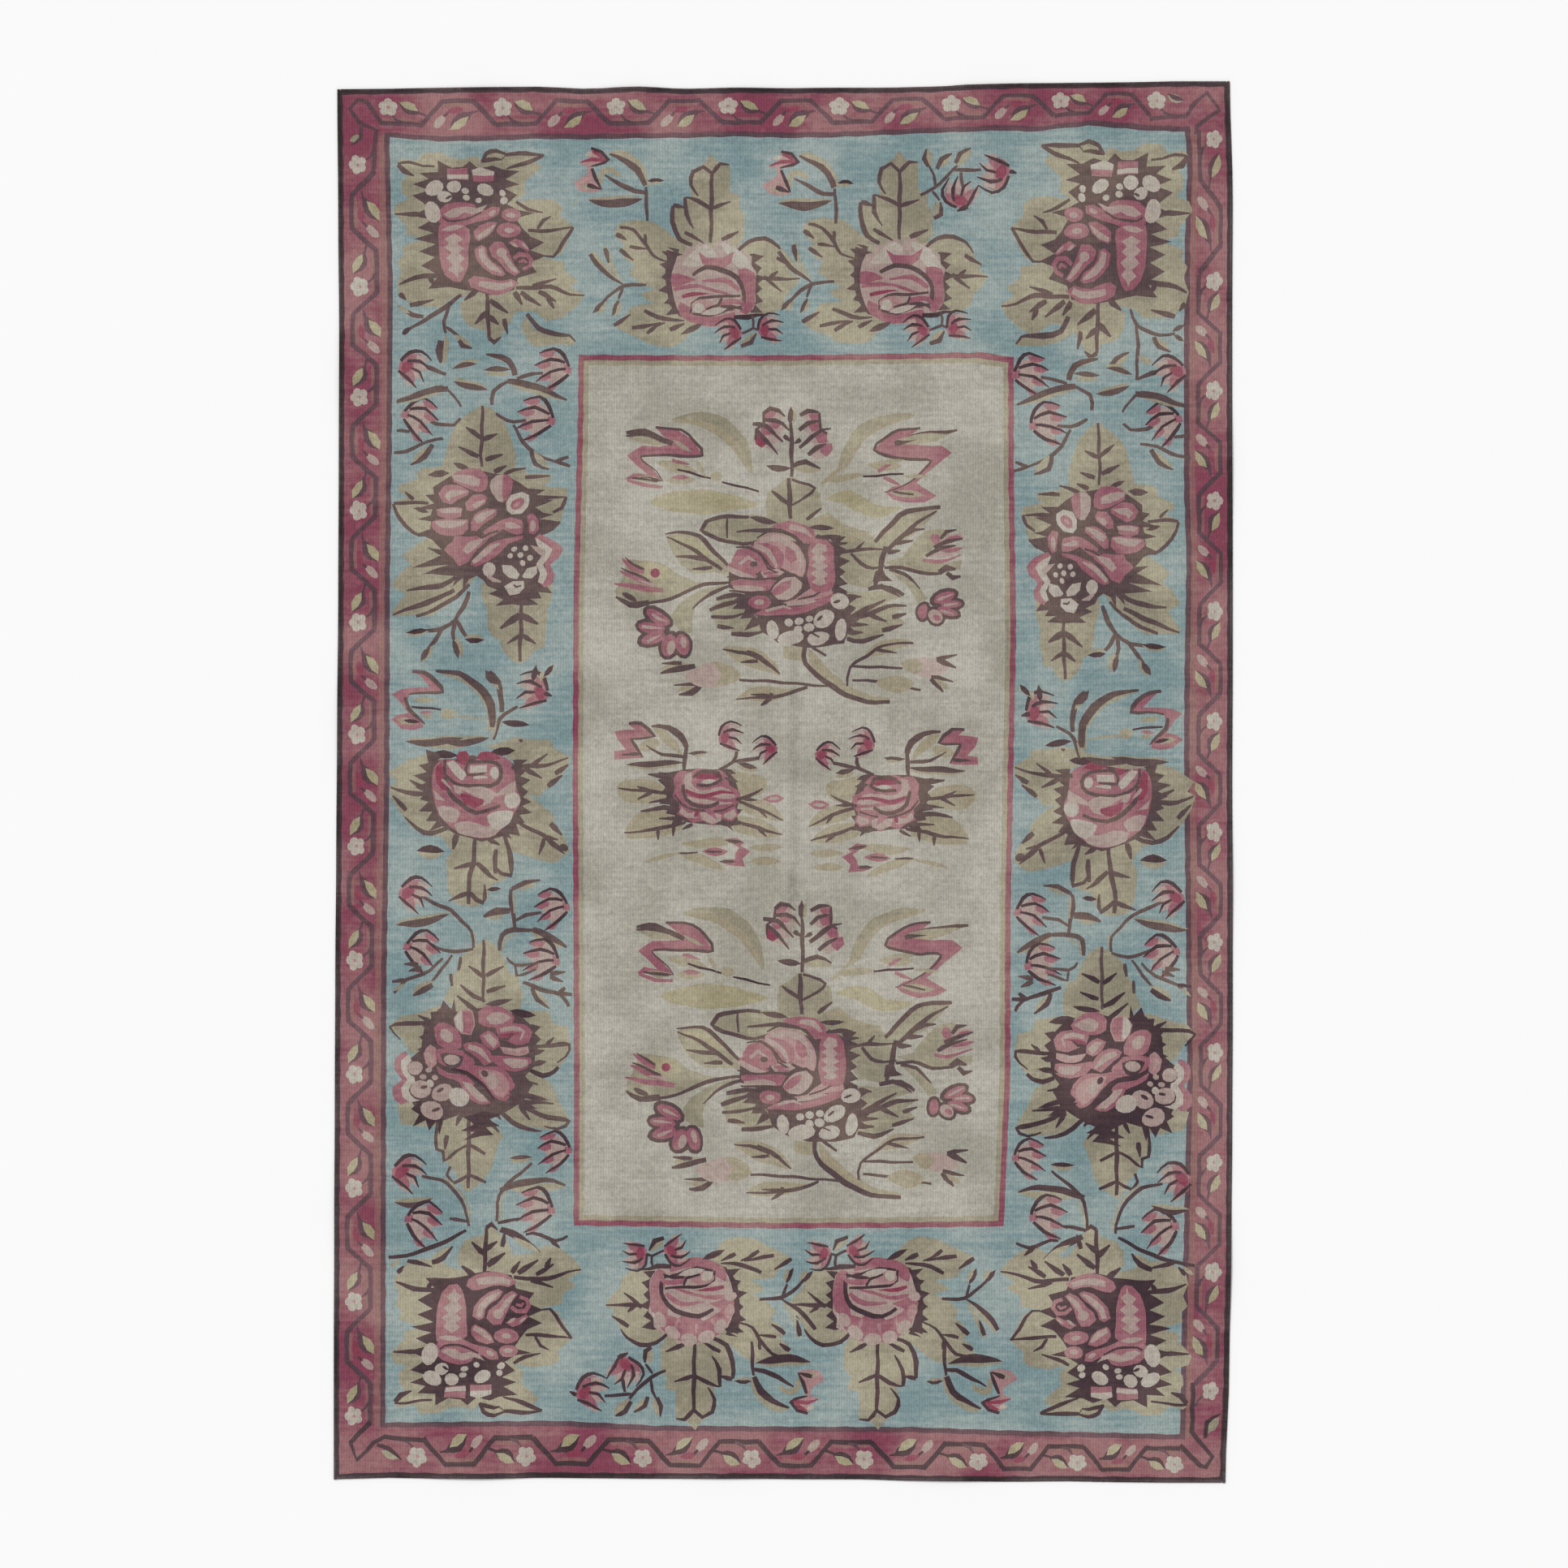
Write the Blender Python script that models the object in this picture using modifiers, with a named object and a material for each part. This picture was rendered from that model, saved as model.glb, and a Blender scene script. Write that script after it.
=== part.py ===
"""Bessarabian kilim: one flat-woven wool cloth with a corded, overcast edge on each of its four sides.

Units are metres and +Z is up. The cloth lies on its underside at Z = 0, centred on the origin,
with its warps and its longer side along Y. Its outline is as uneven as a hand-woven cloth's, and it
rests flat but for a soft lengthwise crease and the low ripples along its edges.
"""

import math

import bmesh
import bpy

# Driving dimensions
KILIM_WIDTH = 1.815
KILIM_LENGTH = 2.829
CLOTH_THICKNESS = 0.0024
EDGING_WIDTH = 0.0070
EDGING_HEIGHT = 0.0036
EDGING_GAP = 0.0005

CLOTH_COLUMNS = 32
CLOTH_ROWS = 46
EDGING_FACETS = 8

# How much closer the cloth's columns stand at the crease than on average, as a share
CREASE_CROWDING = 0.35

# How far each edge lies inside the largest rectangle, in millimetres, at evenly spaced places:
# the sides from the lower end to the upper one, and the ends from left to right
INSET_MM = {
    "left": (0, 0, 1, 2, 3, 5, 7, 9, 10, 11, 9, 7),
    "right": (15, 7, 3, 1, 0, 0, 1, 0, 0, 1, 1, 0, 6),
    "lower": (7, 10, 8, 8, 10, 9, 8, 8, 8, 7, 7, 4, 3, 2, 3, 1, 0, 0),
    "upper": (16, 15, 13, 12, 11, 15, 11, 15, 13, 14, 13, 13, 11, 6, 4, 3, 2, 0, 0),
}

# The crease that is left from storing the kilim folded lengthwise
CREASE = {"x": 0.023, "low_y": -0.42, "high_y": 0.92, "half_width": 0.045, "height": 0.0024}
CREASE_FADE = 0.16

# Ripples along the edges: each rises at the edge and dies out towards the middle of the cloth
RIPPLE_COLUMNS = ("edge", "place", "half_width", "height", "reach")
RIPPLE_ROWS = (
    ("upper", -0.60, 0.11, 0.0030, 0.16),
    ("upper", -0.30, 0.09, 0.0036, 0.15),
    ("upper", -0.06, 0.09, 0.0026, 0.12),
    ("upper", 0.42, 0.14, 0.0028, 0.18),
    ("lower", -0.62, 0.12, 0.0034, 0.15),
    ("lower", -0.12, 0.12, 0.0022, 0.13),
    ("lower", 0.33, 0.13, 0.0028, 0.16),
    ("left", -0.86, 0.14, 0.0026, 0.15),
    ("left", 0.12, 0.16, 0.0030, 0.16),
    ("left", 0.82, 0.15, 0.0034, 0.17),
    ("right", -0.98, 0.15, 0.0034, 0.16),
    ("right", -0.20, 0.16, 0.0024, 0.14),
    ("right", 0.64, 0.15, 0.0030, 0.16),
)
RIPPLES = [dict(zip(RIPPLE_COLUMNS, row)) for row in RIPPLE_ROWS]

# What the eye sees of each piece
TAPESTRY_WOOL = {"colour": (0.26, 0.22, 0.20), "roughness": 0.92}
EDGING_WOOL = {"colour": (0.050, 0.042, 0.038), "roughness": 0.95}


def clear_scene():
    for item in list(bpy.data.objects):
        bpy.data.objects.remove(item, do_unlink=True)


def wool_material(name, look):
    material = bpy.data.materials.new(name)
    material.use_nodes = True
    shader = material.node_tree.nodes["Principled BSDF"]
    shader.inputs["Base Color"].default_value = (*look["colour"], 1.0)
    shader.inputs["Roughness"].default_value = look["roughness"]
    shader.inputs["Metallic"].default_value = 0.0
    return material


def eased(share):
    """0 to 1 as share goes from 0 to 1, level at both ends."""
    share = min(max(share, 0.0), 1.0)
    return share * share * (3.0 - 2.0 * share)


def hump(distance, half_width):
    """1 in the middle of a fold and 0 from half_width on."""
    return eased(1.0 - abs(distance) / half_width)


def inset_at(edge, share):
    """How far an edge lies in from the largest rectangle, at a share of its length."""
    table = INSET_MM[edge]
    place = min(max(share, 0.0), 1.0) * (len(table) - 1)
    before = min(int(place), len(table) - 2)
    after_weight = eased(place - before)
    return 0.001 * (table[before] * (1.0 - after_weight) + table[before + 1] * after_weight)


def edge_point(edge, share, inside):
    """A point of the kilim's outline, moved in by the distance inside."""
    across = inset_at(edge, share) + inside
    half_x = KILIM_WIDTH / 2
    half_y = KILIM_LENGTH / 2
    if edge in ("left", "right"):
        x = half_x - across
        ends = ("lower", "upper")
        corner = 0.0 if edge == "left" else 1.0
        low = -half_y + inset_at(ends[0], corner) + inside
        high = half_y - inset_at(ends[1], corner) - inside
        return (-x if edge == "left" else x), low + (high - low) * share
    y = half_y - across
    corner = 0.0 if edge == "lower" else 1.0
    low = -half_x + inset_at("left", corner) + inside
    high = half_x - inset_at("right", corner) - inside
    return low + (high - low) * share, (-y if edge == "lower" else y)


def cloth_point(u, v, inside):
    """The cloth's plan: a patch stretched between the four uneven edges."""
    left = edge_point("left", v, inside)
    right = edge_point("right", v, inside)
    lower = edge_point("lower", u, inside)
    upper = edge_point("upper", u, inside)
    corners = (
        (edge_point("lower", 0.0, inside), (1 - u) * (1 - v)),
        (edge_point("lower", 1.0, inside), u * (1 - v)),
        (edge_point("upper", 0.0, inside), (1 - u) * v),
        (edge_point("upper", 1.0, inside), u * v),
    )
    return tuple(
        (1 - u) * left[axis]
        + u * right[axis]
        + (1 - v) * lower[axis]
        + v * upper[axis]
        - sum(corner[axis] * weight for corner, weight in corners)
        for axis in (0, 1)
    )


def lift(x, y):
    """How far the cloth stands off the floor at a place."""
    middle = (CREASE["low_y"] + CREASE["high_y"]) / 2
    half_length = (CREASE["high_y"] - CREASE["low_y"]) / 2
    along = eased((half_length - abs(y - middle)) / CREASE_FADE)
    height = CREASE["height"] * along * hump(x - CREASE["x"], CREASE["half_width"])
    for ripple in RIPPLES:
        upright = ripple["edge"] in ("left", "right")
        place = y if upright else x
        across = x if upright else y
        half = (KILIM_WIDTH if upright else KILIM_LENGTH) / 2
        outward = -across if ripple["edge"] in ("left", "lower") else across
        rise = hump(place - ripple["place"], ripple["half_width"])
        fade = eased(1.0 - max(half - outward, 0.0) / ripple["reach"])
        height = max(height, ripple["height"] * rise * fade)
    return height


def crowded(u):
    """Draws the columns together towards the crease in the middle."""
    return u + CREASE_CROWDING * math.sin(2 * math.pi * u) / (2 * math.pi)


def make_cloth(collection, material):
    mesh = bpy.data.meshes.new("cloth")
    shape = bmesh.new()
    bmesh.ops.create_grid(shape, x_segments=CLOTH_COLUMNS, y_segments=CLOTH_ROWS, size=0.5)
    inside = EDGING_WIDTH + EDGING_GAP
    for vertex in shape.verts:
        u, v = vertex.co.x + 0.5, vertex.co.y + 0.5
        x, y = cloth_point(crowded(u), v, inside)
        vertex.co = (x, y, lift(x, y))
    shape.to_mesh(mesh)
    shape.free()
    mesh.materials.append(material)
    cloth = bpy.data.objects.new("cloth", mesh)
    collection.objects.link(cloth)
    thickness = cloth.modifiers.new("thickness", "SOLIDIFY")
    thickness.thickness = CLOTH_THICKNESS
    thickness.offset = 1.0
    return cloth


def make_edging_section(collection):
    """The flat oval that the overcast cord has when cut across."""
    curve = bpy.data.curves.new("edging_section", "CURVE")
    curve.dimensions = "2D"
    spline = curve.splines.new("POLY")
    spline.points.add(EDGING_FACETS - 1)
    for index, point in enumerate(spline.points):
        angle = -2 * math.pi * (index + 0.5) / EDGING_FACETS
        reach = 1.0 / math.cos(math.pi / EDGING_FACETS)
        x = EDGING_WIDTH / 2 * reach * math.cos(angle)
        y = EDGING_HEIGHT / 2 * reach * math.sin(angle)
        x = min(max(x, -EDGING_WIDTH / 2), EDGING_WIDTH / 2)
        y = min(max(y, -EDGING_HEIGHT / 2), EDGING_HEIGHT / 2)
        point.co = (x, y, 0.0, 1.0)
    spline.use_cyclic_u = True
    section = bpy.data.objects.new("edging_section", curve)
    section.hide_render = True
    section.display_type = "WIRE"
    collection.objects.link(section)
    return section


def edging_line(edge):
    """The middle line of the overcast cord along one edge. The sides run past the ends' cords.

    It turns where the cloth's rows or columns meet the edge, so that the two stay a gap apart.
    """
    half = EDGING_WIDTH / 2
    upright = edge in ("left", "right")
    steps = CLOTH_ROWS if upright else CLOTH_COLUMNS
    points = []
    for index in range(steps + 1):
        share = index / steps
        if upright:
            x, y = edge_point(edge, share, half)
            y += half * (2 * share - 1)
        else:
            x, y = edge_point(edge, crowded(share), half)
            x -= (half + EDGING_GAP) * (2 * share - 1)
        points.append((x, y, lift(x, y) + EDGING_HEIGHT / 2))
    return points


def make_edging(edge, section, collection, material):
    curve = bpy.data.curves.new(edge + "_edging_line", "CURVE")
    curve.dimensions = "3D"
    curve.twist_mode = "Z_UP"
    curve.bevel_mode = "OBJECT"
    curve.bevel_object = section
    curve.use_fill_caps = True
    spline = curve.splines.new("POLY")
    line = edging_line(edge)
    spline.points.add(len(line) - 1)
    for point, place in zip(spline.points, line):
        point.co = (*place, 1.0)
    edging = bpy.data.objects.new(edge + "_edging", curve)
    curve.materials.append(material)
    collection.objects.link(edging)
    return edging


def main():
    clear_scene()
    scene = bpy.context.scene
    kilim = bpy.data.collections.new("bessarabian_kilim")
    guides = bpy.data.collections.new("guides")
    scene.collection.children.link(kilim)
    scene.collection.children.link(guides)

    make_cloth(kilim, wool_material("tapestry_wool", TAPESTRY_WOOL))
    edging_wool = wool_material("edging_wool", EDGING_WOOL)
    section = make_edging_section(guides)
    for edge in ("left", "right", "lower", "upper"):
        make_edging(edge, section, kilim, edging_wool)


main()
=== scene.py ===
# %% [markdown]
# # A Bessarabian kilim, laid flat on a floor
#
# This lesson gives the plain solid of the kilim its looks. The real one is a tapestry-woven wool rug:
# hard-spun warps run its length, and softer dyed weft yarns are beaten down until they hide the warps.
# Every colour is a different yarn, woven only where its shape is, so the picture has no pile and both
# faces show it. The same holds here: the picture is a plane cut into shapes, and each shape gets the
# material of its yarn. No image is used. Each flower is a short chart of shapes that is drawn once and
# placed several times, turned or mirrored, as the weavers repeated their motifs.

import math

import bpy
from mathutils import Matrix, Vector
from mathutils.geometry import delaunay_2d_cdt


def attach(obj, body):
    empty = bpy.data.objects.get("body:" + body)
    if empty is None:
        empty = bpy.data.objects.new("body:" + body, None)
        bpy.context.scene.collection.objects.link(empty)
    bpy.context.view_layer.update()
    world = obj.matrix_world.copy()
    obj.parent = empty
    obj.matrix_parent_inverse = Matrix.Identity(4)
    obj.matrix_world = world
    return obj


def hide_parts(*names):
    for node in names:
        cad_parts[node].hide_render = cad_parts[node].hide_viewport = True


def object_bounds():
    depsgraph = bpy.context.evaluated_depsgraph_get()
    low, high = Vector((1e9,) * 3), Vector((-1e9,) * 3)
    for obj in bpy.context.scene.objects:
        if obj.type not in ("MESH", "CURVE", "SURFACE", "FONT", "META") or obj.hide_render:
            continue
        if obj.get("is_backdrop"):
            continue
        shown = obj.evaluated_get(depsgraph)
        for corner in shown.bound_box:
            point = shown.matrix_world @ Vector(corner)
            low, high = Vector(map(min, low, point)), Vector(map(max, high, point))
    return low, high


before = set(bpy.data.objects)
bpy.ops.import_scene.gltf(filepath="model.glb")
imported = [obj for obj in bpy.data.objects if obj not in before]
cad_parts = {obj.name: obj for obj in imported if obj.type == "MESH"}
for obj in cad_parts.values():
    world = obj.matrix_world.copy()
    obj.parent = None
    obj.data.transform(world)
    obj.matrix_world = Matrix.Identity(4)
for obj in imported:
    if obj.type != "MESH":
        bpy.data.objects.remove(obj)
bounds_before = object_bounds()

# %% [markdown]
# ## The size and the lie of the cloth
#
# These values and functions are the ones that shaped the solid, so that the woven picture lies exactly
# where the cloth is: an outline as uneven as a hand-woven edge, a soft crease from storing it folded
# lengthwise, and low ripples along the edges. Metres and +Z up; the warps run along Y.

# %% Sizes, outline and folds
KILIM_WIDTH = 1.815
KILIM_LENGTH = 2.829
CLOTH_THICKNESS = 0.0024
EDGING_WIDTH = 0.0070
EDGING_HEIGHT = 0.0036
EDGING_GAP = 0.0005
CREASE_CROWDING = 0.35

# How far each edge lies inside the largest rectangle, in millimetres, at evenly spaced places
INSET_MM = {
    "left": (0, 0, 1, 2, 3, 5, 7, 9, 10, 11, 9, 7),
    "right": (15, 7, 3, 1, 0, 0, 1, 0, 0, 1, 1, 0, 6),
    "lower": (7, 10, 8, 8, 10, 9, 8, 8, 8, 7, 7, 4, 3, 2, 3, 1, 0, 0),
    "upper": (16, 15, 13, 12, 11, 15, 11, 15, 13, 14, 13, 13, 11, 6, 4, 3, 2, 0, 0),
}
CREASE = {"x": 0.023, "low_y": -0.42, "high_y": 0.92, "half_width": 0.045, "height": 0.0024}
CREASE_FADE = 0.16
RIPPLE_COLUMNS = ("edge", "place", "half_width", "height", "reach")
RIPPLE_ROWS = (
    ("upper", -0.60, 0.11, 0.0030, 0.16),
    ("upper", -0.30, 0.09, 0.0036, 0.15),
    ("upper", -0.06, 0.09, 0.0026, 0.12),
    ("upper", 0.42, 0.14, 0.0028, 0.18),
    ("lower", -0.62, 0.12, 0.0034, 0.15),
    ("lower", -0.12, 0.12, 0.0022, 0.13),
    ("lower", 0.33, 0.13, 0.0028, 0.16),
    ("left", -0.86, 0.14, 0.0026, 0.15),
    ("left", 0.12, 0.16, 0.0030, 0.16),
    ("left", 0.82, 0.15, 0.0034, 0.17),
    ("right", -0.98, 0.15, 0.0034, 0.16),
    ("right", -0.20, 0.16, 0.0024, 0.14),
    ("right", 0.64, 0.15, 0.0030, 0.16),
)
RIPPLES = [dict(zip(RIPPLE_COLUMNS, row)) for row in RIPPLE_ROWS]


def eased(share):
    """0 to 1 as share goes from 0 to 1, level at both ends."""
    share = min(max(share, 0.0), 1.0)
    return share * share * (3.0 - 2.0 * share)


def hump(distance, half_width):
    """1 in the middle of a fold and 0 from half_width on."""
    return eased(1.0 - abs(distance) / half_width)


def inset_at(edge, share):
    table = INSET_MM[edge]
    place = min(max(share, 0.0), 1.0) * (len(table) - 1)
    before = min(int(place), len(table) - 2)
    after_weight = eased(place - before)
    return 0.001 * (table[before] * (1.0 - after_weight) + table[before + 1] * after_weight)


def edge_point(edge, share, inside):
    """A point of the kilim's outline, moved in by the distance inside."""
    across = inset_at(edge, share) + inside
    half_x = KILIM_WIDTH / 2
    half_y = KILIM_LENGTH / 2
    if edge in ("left", "right"):
        x = half_x - across
        corner = 0.0 if edge == "left" else 1.0
        low = -half_y + inset_at("lower", corner) + inside
        high = half_y - inset_at("upper", corner) - inside
        return (-x if edge == "left" else x), low + (high - low) * share
    y = half_y - across
    corner = 0.0 if edge == "lower" else 1.0
    low = -half_x + inset_at("left", corner) + inside
    high = half_x - inset_at("right", corner) - inside
    return low + (high - low) * share, (-y if edge == "lower" else y)


def lift(x, y):
    """How far the cloth stands off the floor at a place."""
    middle = (CREASE["low_y"] + CREASE["high_y"]) / 2
    half_length = (CREASE["high_y"] - CREASE["low_y"]) / 2
    along = eased((half_length - abs(y - middle)) / CREASE_FADE)
    height = CREASE["height"] * along * hump(x - CREASE["x"], CREASE["half_width"])
    for ripple in RIPPLES:
        upright = ripple["edge"] in ("left", "right")
        place = y if upright else x
        across = x if upright else y
        half = (KILIM_WIDTH if upright else KILIM_LENGTH) / 2
        outward = -across if ripple["edge"] in ("left", "lower") else across
        rise = hump(place - ripple["place"], ripple["half_width"])
        fade = eased(1.0 - max(half - outward, 0.0) / ripple["reach"])
        height = max(height, ripple["height"] * rise * fade)
    return height


print("crease stands", round(1000 * lift(CREASE["x"], 0.2), 2), "mm off the floor")

# %% [markdown]
# ## The yarns
#
# A kilim like this uses about fifteen dyes: madder reds from crimson to a washed-out pink, a sky blue
# from a weak indigo bath, khakis and sands for the leaves, walnut brown and near black for the outlines,
# and undyed ivory. Light has faded them all, and the brown has become a soft plum. One function makes
# every yarn's material, because they are all the same wool in the same weave. What it adds to the dye:
#
# - abrash, the bands where the weaver started a new batch of yarn, so thin streaks along the weft;
# - larger patches, faded or soiled;
# - the ribs of the warps under the weft. They stand about 2.6 mm apart on the real cloth, too fine for
#   this view, so two warps share one rib here;
# - the heather of hand-spun yarn, and a bump for all of it.

# %% Colours and nodes
def linear(hex_colour):
    """A colour as written in the picture, turned into light."""
    values = [int(hex_colour[i : i + 2], 16) / 255 for i in (1, 3, 5)]
    return tuple(v / 12.92 if v <= 0.04045 else ((v + 0.055) / 1.055) ** 2.4 for v in values) + (1.0,)


def add(tree, kind, inputs=(), **settings):
    """Adds a node, with its settings, and fills its inputs with values or links."""
    node = tree.nodes.new(kind)
    for name, value in settings.items():
        setattr(node, name, value)
    for name, value in dict(inputs).items():
        if isinstance(value, bpy.types.NodeSocket):
            tree.links.new(value, node.inputs[name])
        else:
            node.inputs[name].default_value = value
    return node


def tuned(tree, total, part, amount):
    """The total, moved up or down by how far a pattern is from its middle value."""
    shift = add(tree, "ShaderNodeMath", {0: part, 1: -0.5}, operation="ADD").outputs[0]
    return add(tree, "ShaderNodeMath", {0: shift, 1: amount, 2: total}, operation="MULTIPLY_ADD").outputs[0]


# %% The weave's pattern sizes
RIB_PITCH = 0.0054
ABRASH_HEIGHT = 0.008
ABRASH_LENGTH = 0.11
PATCH_SIZE = 0.16
HEATHER_SIZE = 0.0035
FLECK_SIZE = 0.010
# A darker line along the crease: painted shade of the fold, together with the soil it has gathered
CREASE_SHADE_AND_SOIL = {"x": 0.021, "half_width": 0.02, "low_y": -0.30, "high_y": 0.24, "fade": 0.10}


def ranged(tree, value, low, high, start=0.0, end=1.0):
    """The value carried from low and high to start and end, softly and no further."""
    inputs = {0: value, 1: low, 2: high, 3: start, 4: end}
    return add(tree, "ShaderNodeMapRange", inputs, interpolation_type="SMOOTHSTEP").outputs[0]


def combined(tree, operation, *values):
    return add(tree, "ShaderNodeMath", dict(enumerate(values)), operation=operation).outputs[0]


def crease_shade_and_soil(tree, spot):
    """The darker grey line along the fold in the middle of the cloth: painted shade of the crease, with the
    soil the fold has gathered.
    """
    parts = add(tree, "ShaderNodeSeparateXYZ", {0: spot}).outputs
    middle = (CREASE_SHADE_AND_SOIL["low_y"] + CREASE_SHADE_AND_SOIL["high_y"]) / 2
    half = (CREASE_SHADE_AND_SOIL["high_y"] - CREASE_SHADE_AND_SOIL["low_y"]) / 2
    across = combined(tree, "ABSOLUTE", combined(tree, "SUBTRACT", parts["X"], CREASE_SHADE_AND_SOIL["x"]))
    along = combined(tree, "ABSOLUTE", combined(tree, "SUBTRACT", parts["Y"], middle))
    near = ranged(tree, across, CREASE_SHADE_AND_SOIL["half_width"], 0.0)
    within = ranged(tree, along, half + CREASE_SHADE_AND_SOIL["fade"], half)
    return combined(tree, "MULTIPLY", near, within)


def wool(name, fresh, faded, streaky=0.2, heather=0.32, ribs=0.13):
    """A yarn of the weave, between its fresh and its faded colour, more in streaks or more in clouds."""
    material = bpy.data.materials.new(name)
    material.use_nodes = True
    tree = material.node_tree
    shader = tree.nodes["Principled BSDF"]
    spot = add(tree, "ShaderNodeTexCoord").outputs["Object"]
    stretched = {"Vector": spot, "Scale": (1 / ABRASH_LENGTH, 1 / ABRASH_HEIGHT, 1.0)}
    along_weft = add(tree, "ShaderNodeMapping", stretched).outputs[0]
    noises = {}
    for what, place, scale, detail in (
        ("streaks", along_weft, 1.0, 4.0),
        ("clouds", spot, 1 / PATCH_SIZE, 6.0),
        ("fibres", spot, 1 / HEATHER_SIZE, 2.0),
        ("flecks", spot, 1 / FLECK_SIZE, 3.0),
    ):
        settings = {"Vector": place, "Scale": scale, "Detail": detail}
        noises[what] = add(tree, "ShaderNodeTexNoise", settings).outputs["Fac"]
    streaks, clouds, fibres = noises["streaks"], noises["clouds"], noises["fibres"]
    rib_inputs = {"Vector": spot, "Scale": 2 * math.pi / (20 * RIB_PITCH), "Distortion": 2.0, "Detail": 2.0}
    warps = add(tree, "ShaderNodeTexWave", rib_inputs, bands_direction="X").outputs["Fac"]
    clouded = combined(tree, "MULTIPLY", clouds, 1 - streaky)
    mixed = combined(tree, "MULTIPLY_ADD", streaks, streaky, clouded)
    worn = ranged(tree, mixed, 0.38, 0.62)
    colours = {0: worn, 6: linear(fresh), 7: linear(faded)}
    dyed = add(tree, "ShaderNodeMix", colours, data_type="RGBA").outputs[2]
    tone = tuned(tree, 1.0, streaks, streaky * 0.5)
    tone = tuned(tree, tone, clouds, 0.2)
    tone = tuned(tree, tone, fibres, heather * 2)
    tone = tuned(tree, tone, noises["flecks"], heather * 1.5)
    tone = tuned(tree, tone, warps, ribs)
    # Painted shade and soil along the crease darken every yarn there
    tone = combined(tree, "MULTIPLY_ADD", crease_shade_and_soil(tree, spot), -0.16, tone)
    toned = add(tree, "ShaderNodeHueSaturation", {"Value": tone, "Color": dyed}).outputs[0]
    tree.links.new(toned, shader.inputs["Base Color"])
    tree.links.new(combined(tree, "MULTIPLY_ADD", fibres, 0.2, 0.80), shader.inputs["Roughness"])
    height = combined(tree, "MULTIPLY_ADD", fibres, 0.8, warps)
    bump = add(tree, "ShaderNodeBump", {"Height": height, "Strength": 0.6, "Distance": 0.0008})
    tree.links.new(bump.outputs[0], shader.inputs["Normal"])
    shader.inputs["Specular IOR Level"].default_value = 0.1
    shader.inputs["Sheen Weight"].default_value = 0.04
    shader.inputs["Sheen Roughness"].default_value = 0.6
    return material


# %% The dyes, each as fresh as it is anywhere and as faded as it is anywhere
DYES = {
    "black": ("#3b3033", "#4f4145"),
    "madder": ("#7f4153", "#976e6f"),
    "soft_madder": ("#84585a", "#93716b"),
    "walnut": ("#543f46", "#70575b"),
    "blue": ("#798f92", "#96a29f"),
    "ivory": ("#9f9b8f", "#b1ada2"),
    "khaki": ("#8b8472", "#a59e88"),
    "sand": ("#968c76", "#a59c87"),
    "gold": ("#978e72", "#aaa288"),
    "brown": ("#544446", "#6d5c56"),
    "dark": ("#403136", "#5a4849"),
    "rose": ("#8c5763", "#a27a7b"),
    "pink": ("#9c7778", "#ae918c"),
    "pale": ("#9f8a84", "#ab9b92"),
    "white": ("#a89d93", "#b4ada2"),
    "crimson": ("#823c4d", "#8e5560"),
    "blush": ("#a49189", "#b0a098"),
}
yarns = list(DYES)
STREAKY = {"blue": 0.35, "ivory": 0.25}
materials = {yarn: wool(yarn + "_wool", *DYES[yarn], STREAKY.get(yarn, 0.2)) for yarn in yarns}
print(len(materials), "yarns")

# %% [markdown]
# ## How the charts are read
#
# A weaver works a flower from a drawing of its outlines. Here each row of a chart is one kind of shape,
# its yarn, its sizes, and after the colon its corners in centimetres from the kilim's middle. A slash
# starts another shape of the same kind. Later rows lie over earlier ones.
#
# - area has straight sides, soft has a curved outline;
# - line is an even ribbon and vein one that thins out, both of a given width;
# - leaf is a pointed oval from one tip to the other, with its width and how far it bellies to a side;
# - oval has two half-sizes and a turn; teeth is the comb of sharp points round a bouquet;
# - stroke is an even ribbon with sharp bends;
# - bud and bloom place one of the two half-open flowers, with a size and the direction it faces.

# %% Lines and shapes
def places(text):
    return [tuple(float(number) for number in place.split(",")) for place in text.split()]


CURVE_STEP = 1.5


def smooth(points, closed, step):
    """A curve through the points, with a corner about every step centimetres."""
    count = len(points)
    result = []
    for i in range(count if closed else count - 1):
        p1, p2 = points[i], points[(i + 1) % count]
        p0 = points[i - 1] if closed or i else p1
        p3 = points[(i + 2) % count] if closed or i + 2 < count else p2
        cuts = max(1, round(math.dist(p1, p2) / step))
        for k in range(cuts):
            t = k / cuts
            weights = (-t + 2 * t**2 - t**3, 2 - 5 * t**2 + 3 * t**3, t + 4 * t**2 - 3 * t**3, t**3 - t**2)
            near = (p0, p1, p2, p3)
            result.append(tuple(sum(w * p[axis] for w, p in zip(weights, near)) / 2 for axis in (0, 1)))
    if not closed:
        result.append(points[-1])
    return result


def normals(line):
    """For each point of a line, the direction to its left."""
    result = []
    for i in range(len(line)):
        ax, ay = line[max(i - 1, 0)]
        bx, by = line[min(i + 1, len(line) - 1)]
        run = math.dist((ax, ay), (bx, by)) or 1.0
        result.append(((ay - by) / run, (bx - ax) / run))
    return result


def ribbon(points, width, first, last):
    """An outline round a line: full width in the middle, first and last as shares of it at the ends."""
    if len(points) > 2:
        line = smooth(points, False, CURVE_STEP)
    else:
        (ax, ay), (bx, by) = points
        line = [points[0], (0.65 * ax + 0.35 * bx, 0.65 * ay + 0.35 * by), points[1]]
    left, right = [], []
    for i, ((x, y), (nx, ny)) in enumerate(zip(line, normals(line))):
        t = i / (len(line) - 1)
        if t < 0.5:
            share = first + (1 - first) * min(t / 0.35, 1)
        else:
            share = last + (1 - last) * min((1 - t) / 0.5, 1)
        half = width / 2 * share
        left.append((x + nx * half, y + ny * half))
        right.append((x - nx * half, y - ny * half))
    return left + right[::-1]


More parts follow.
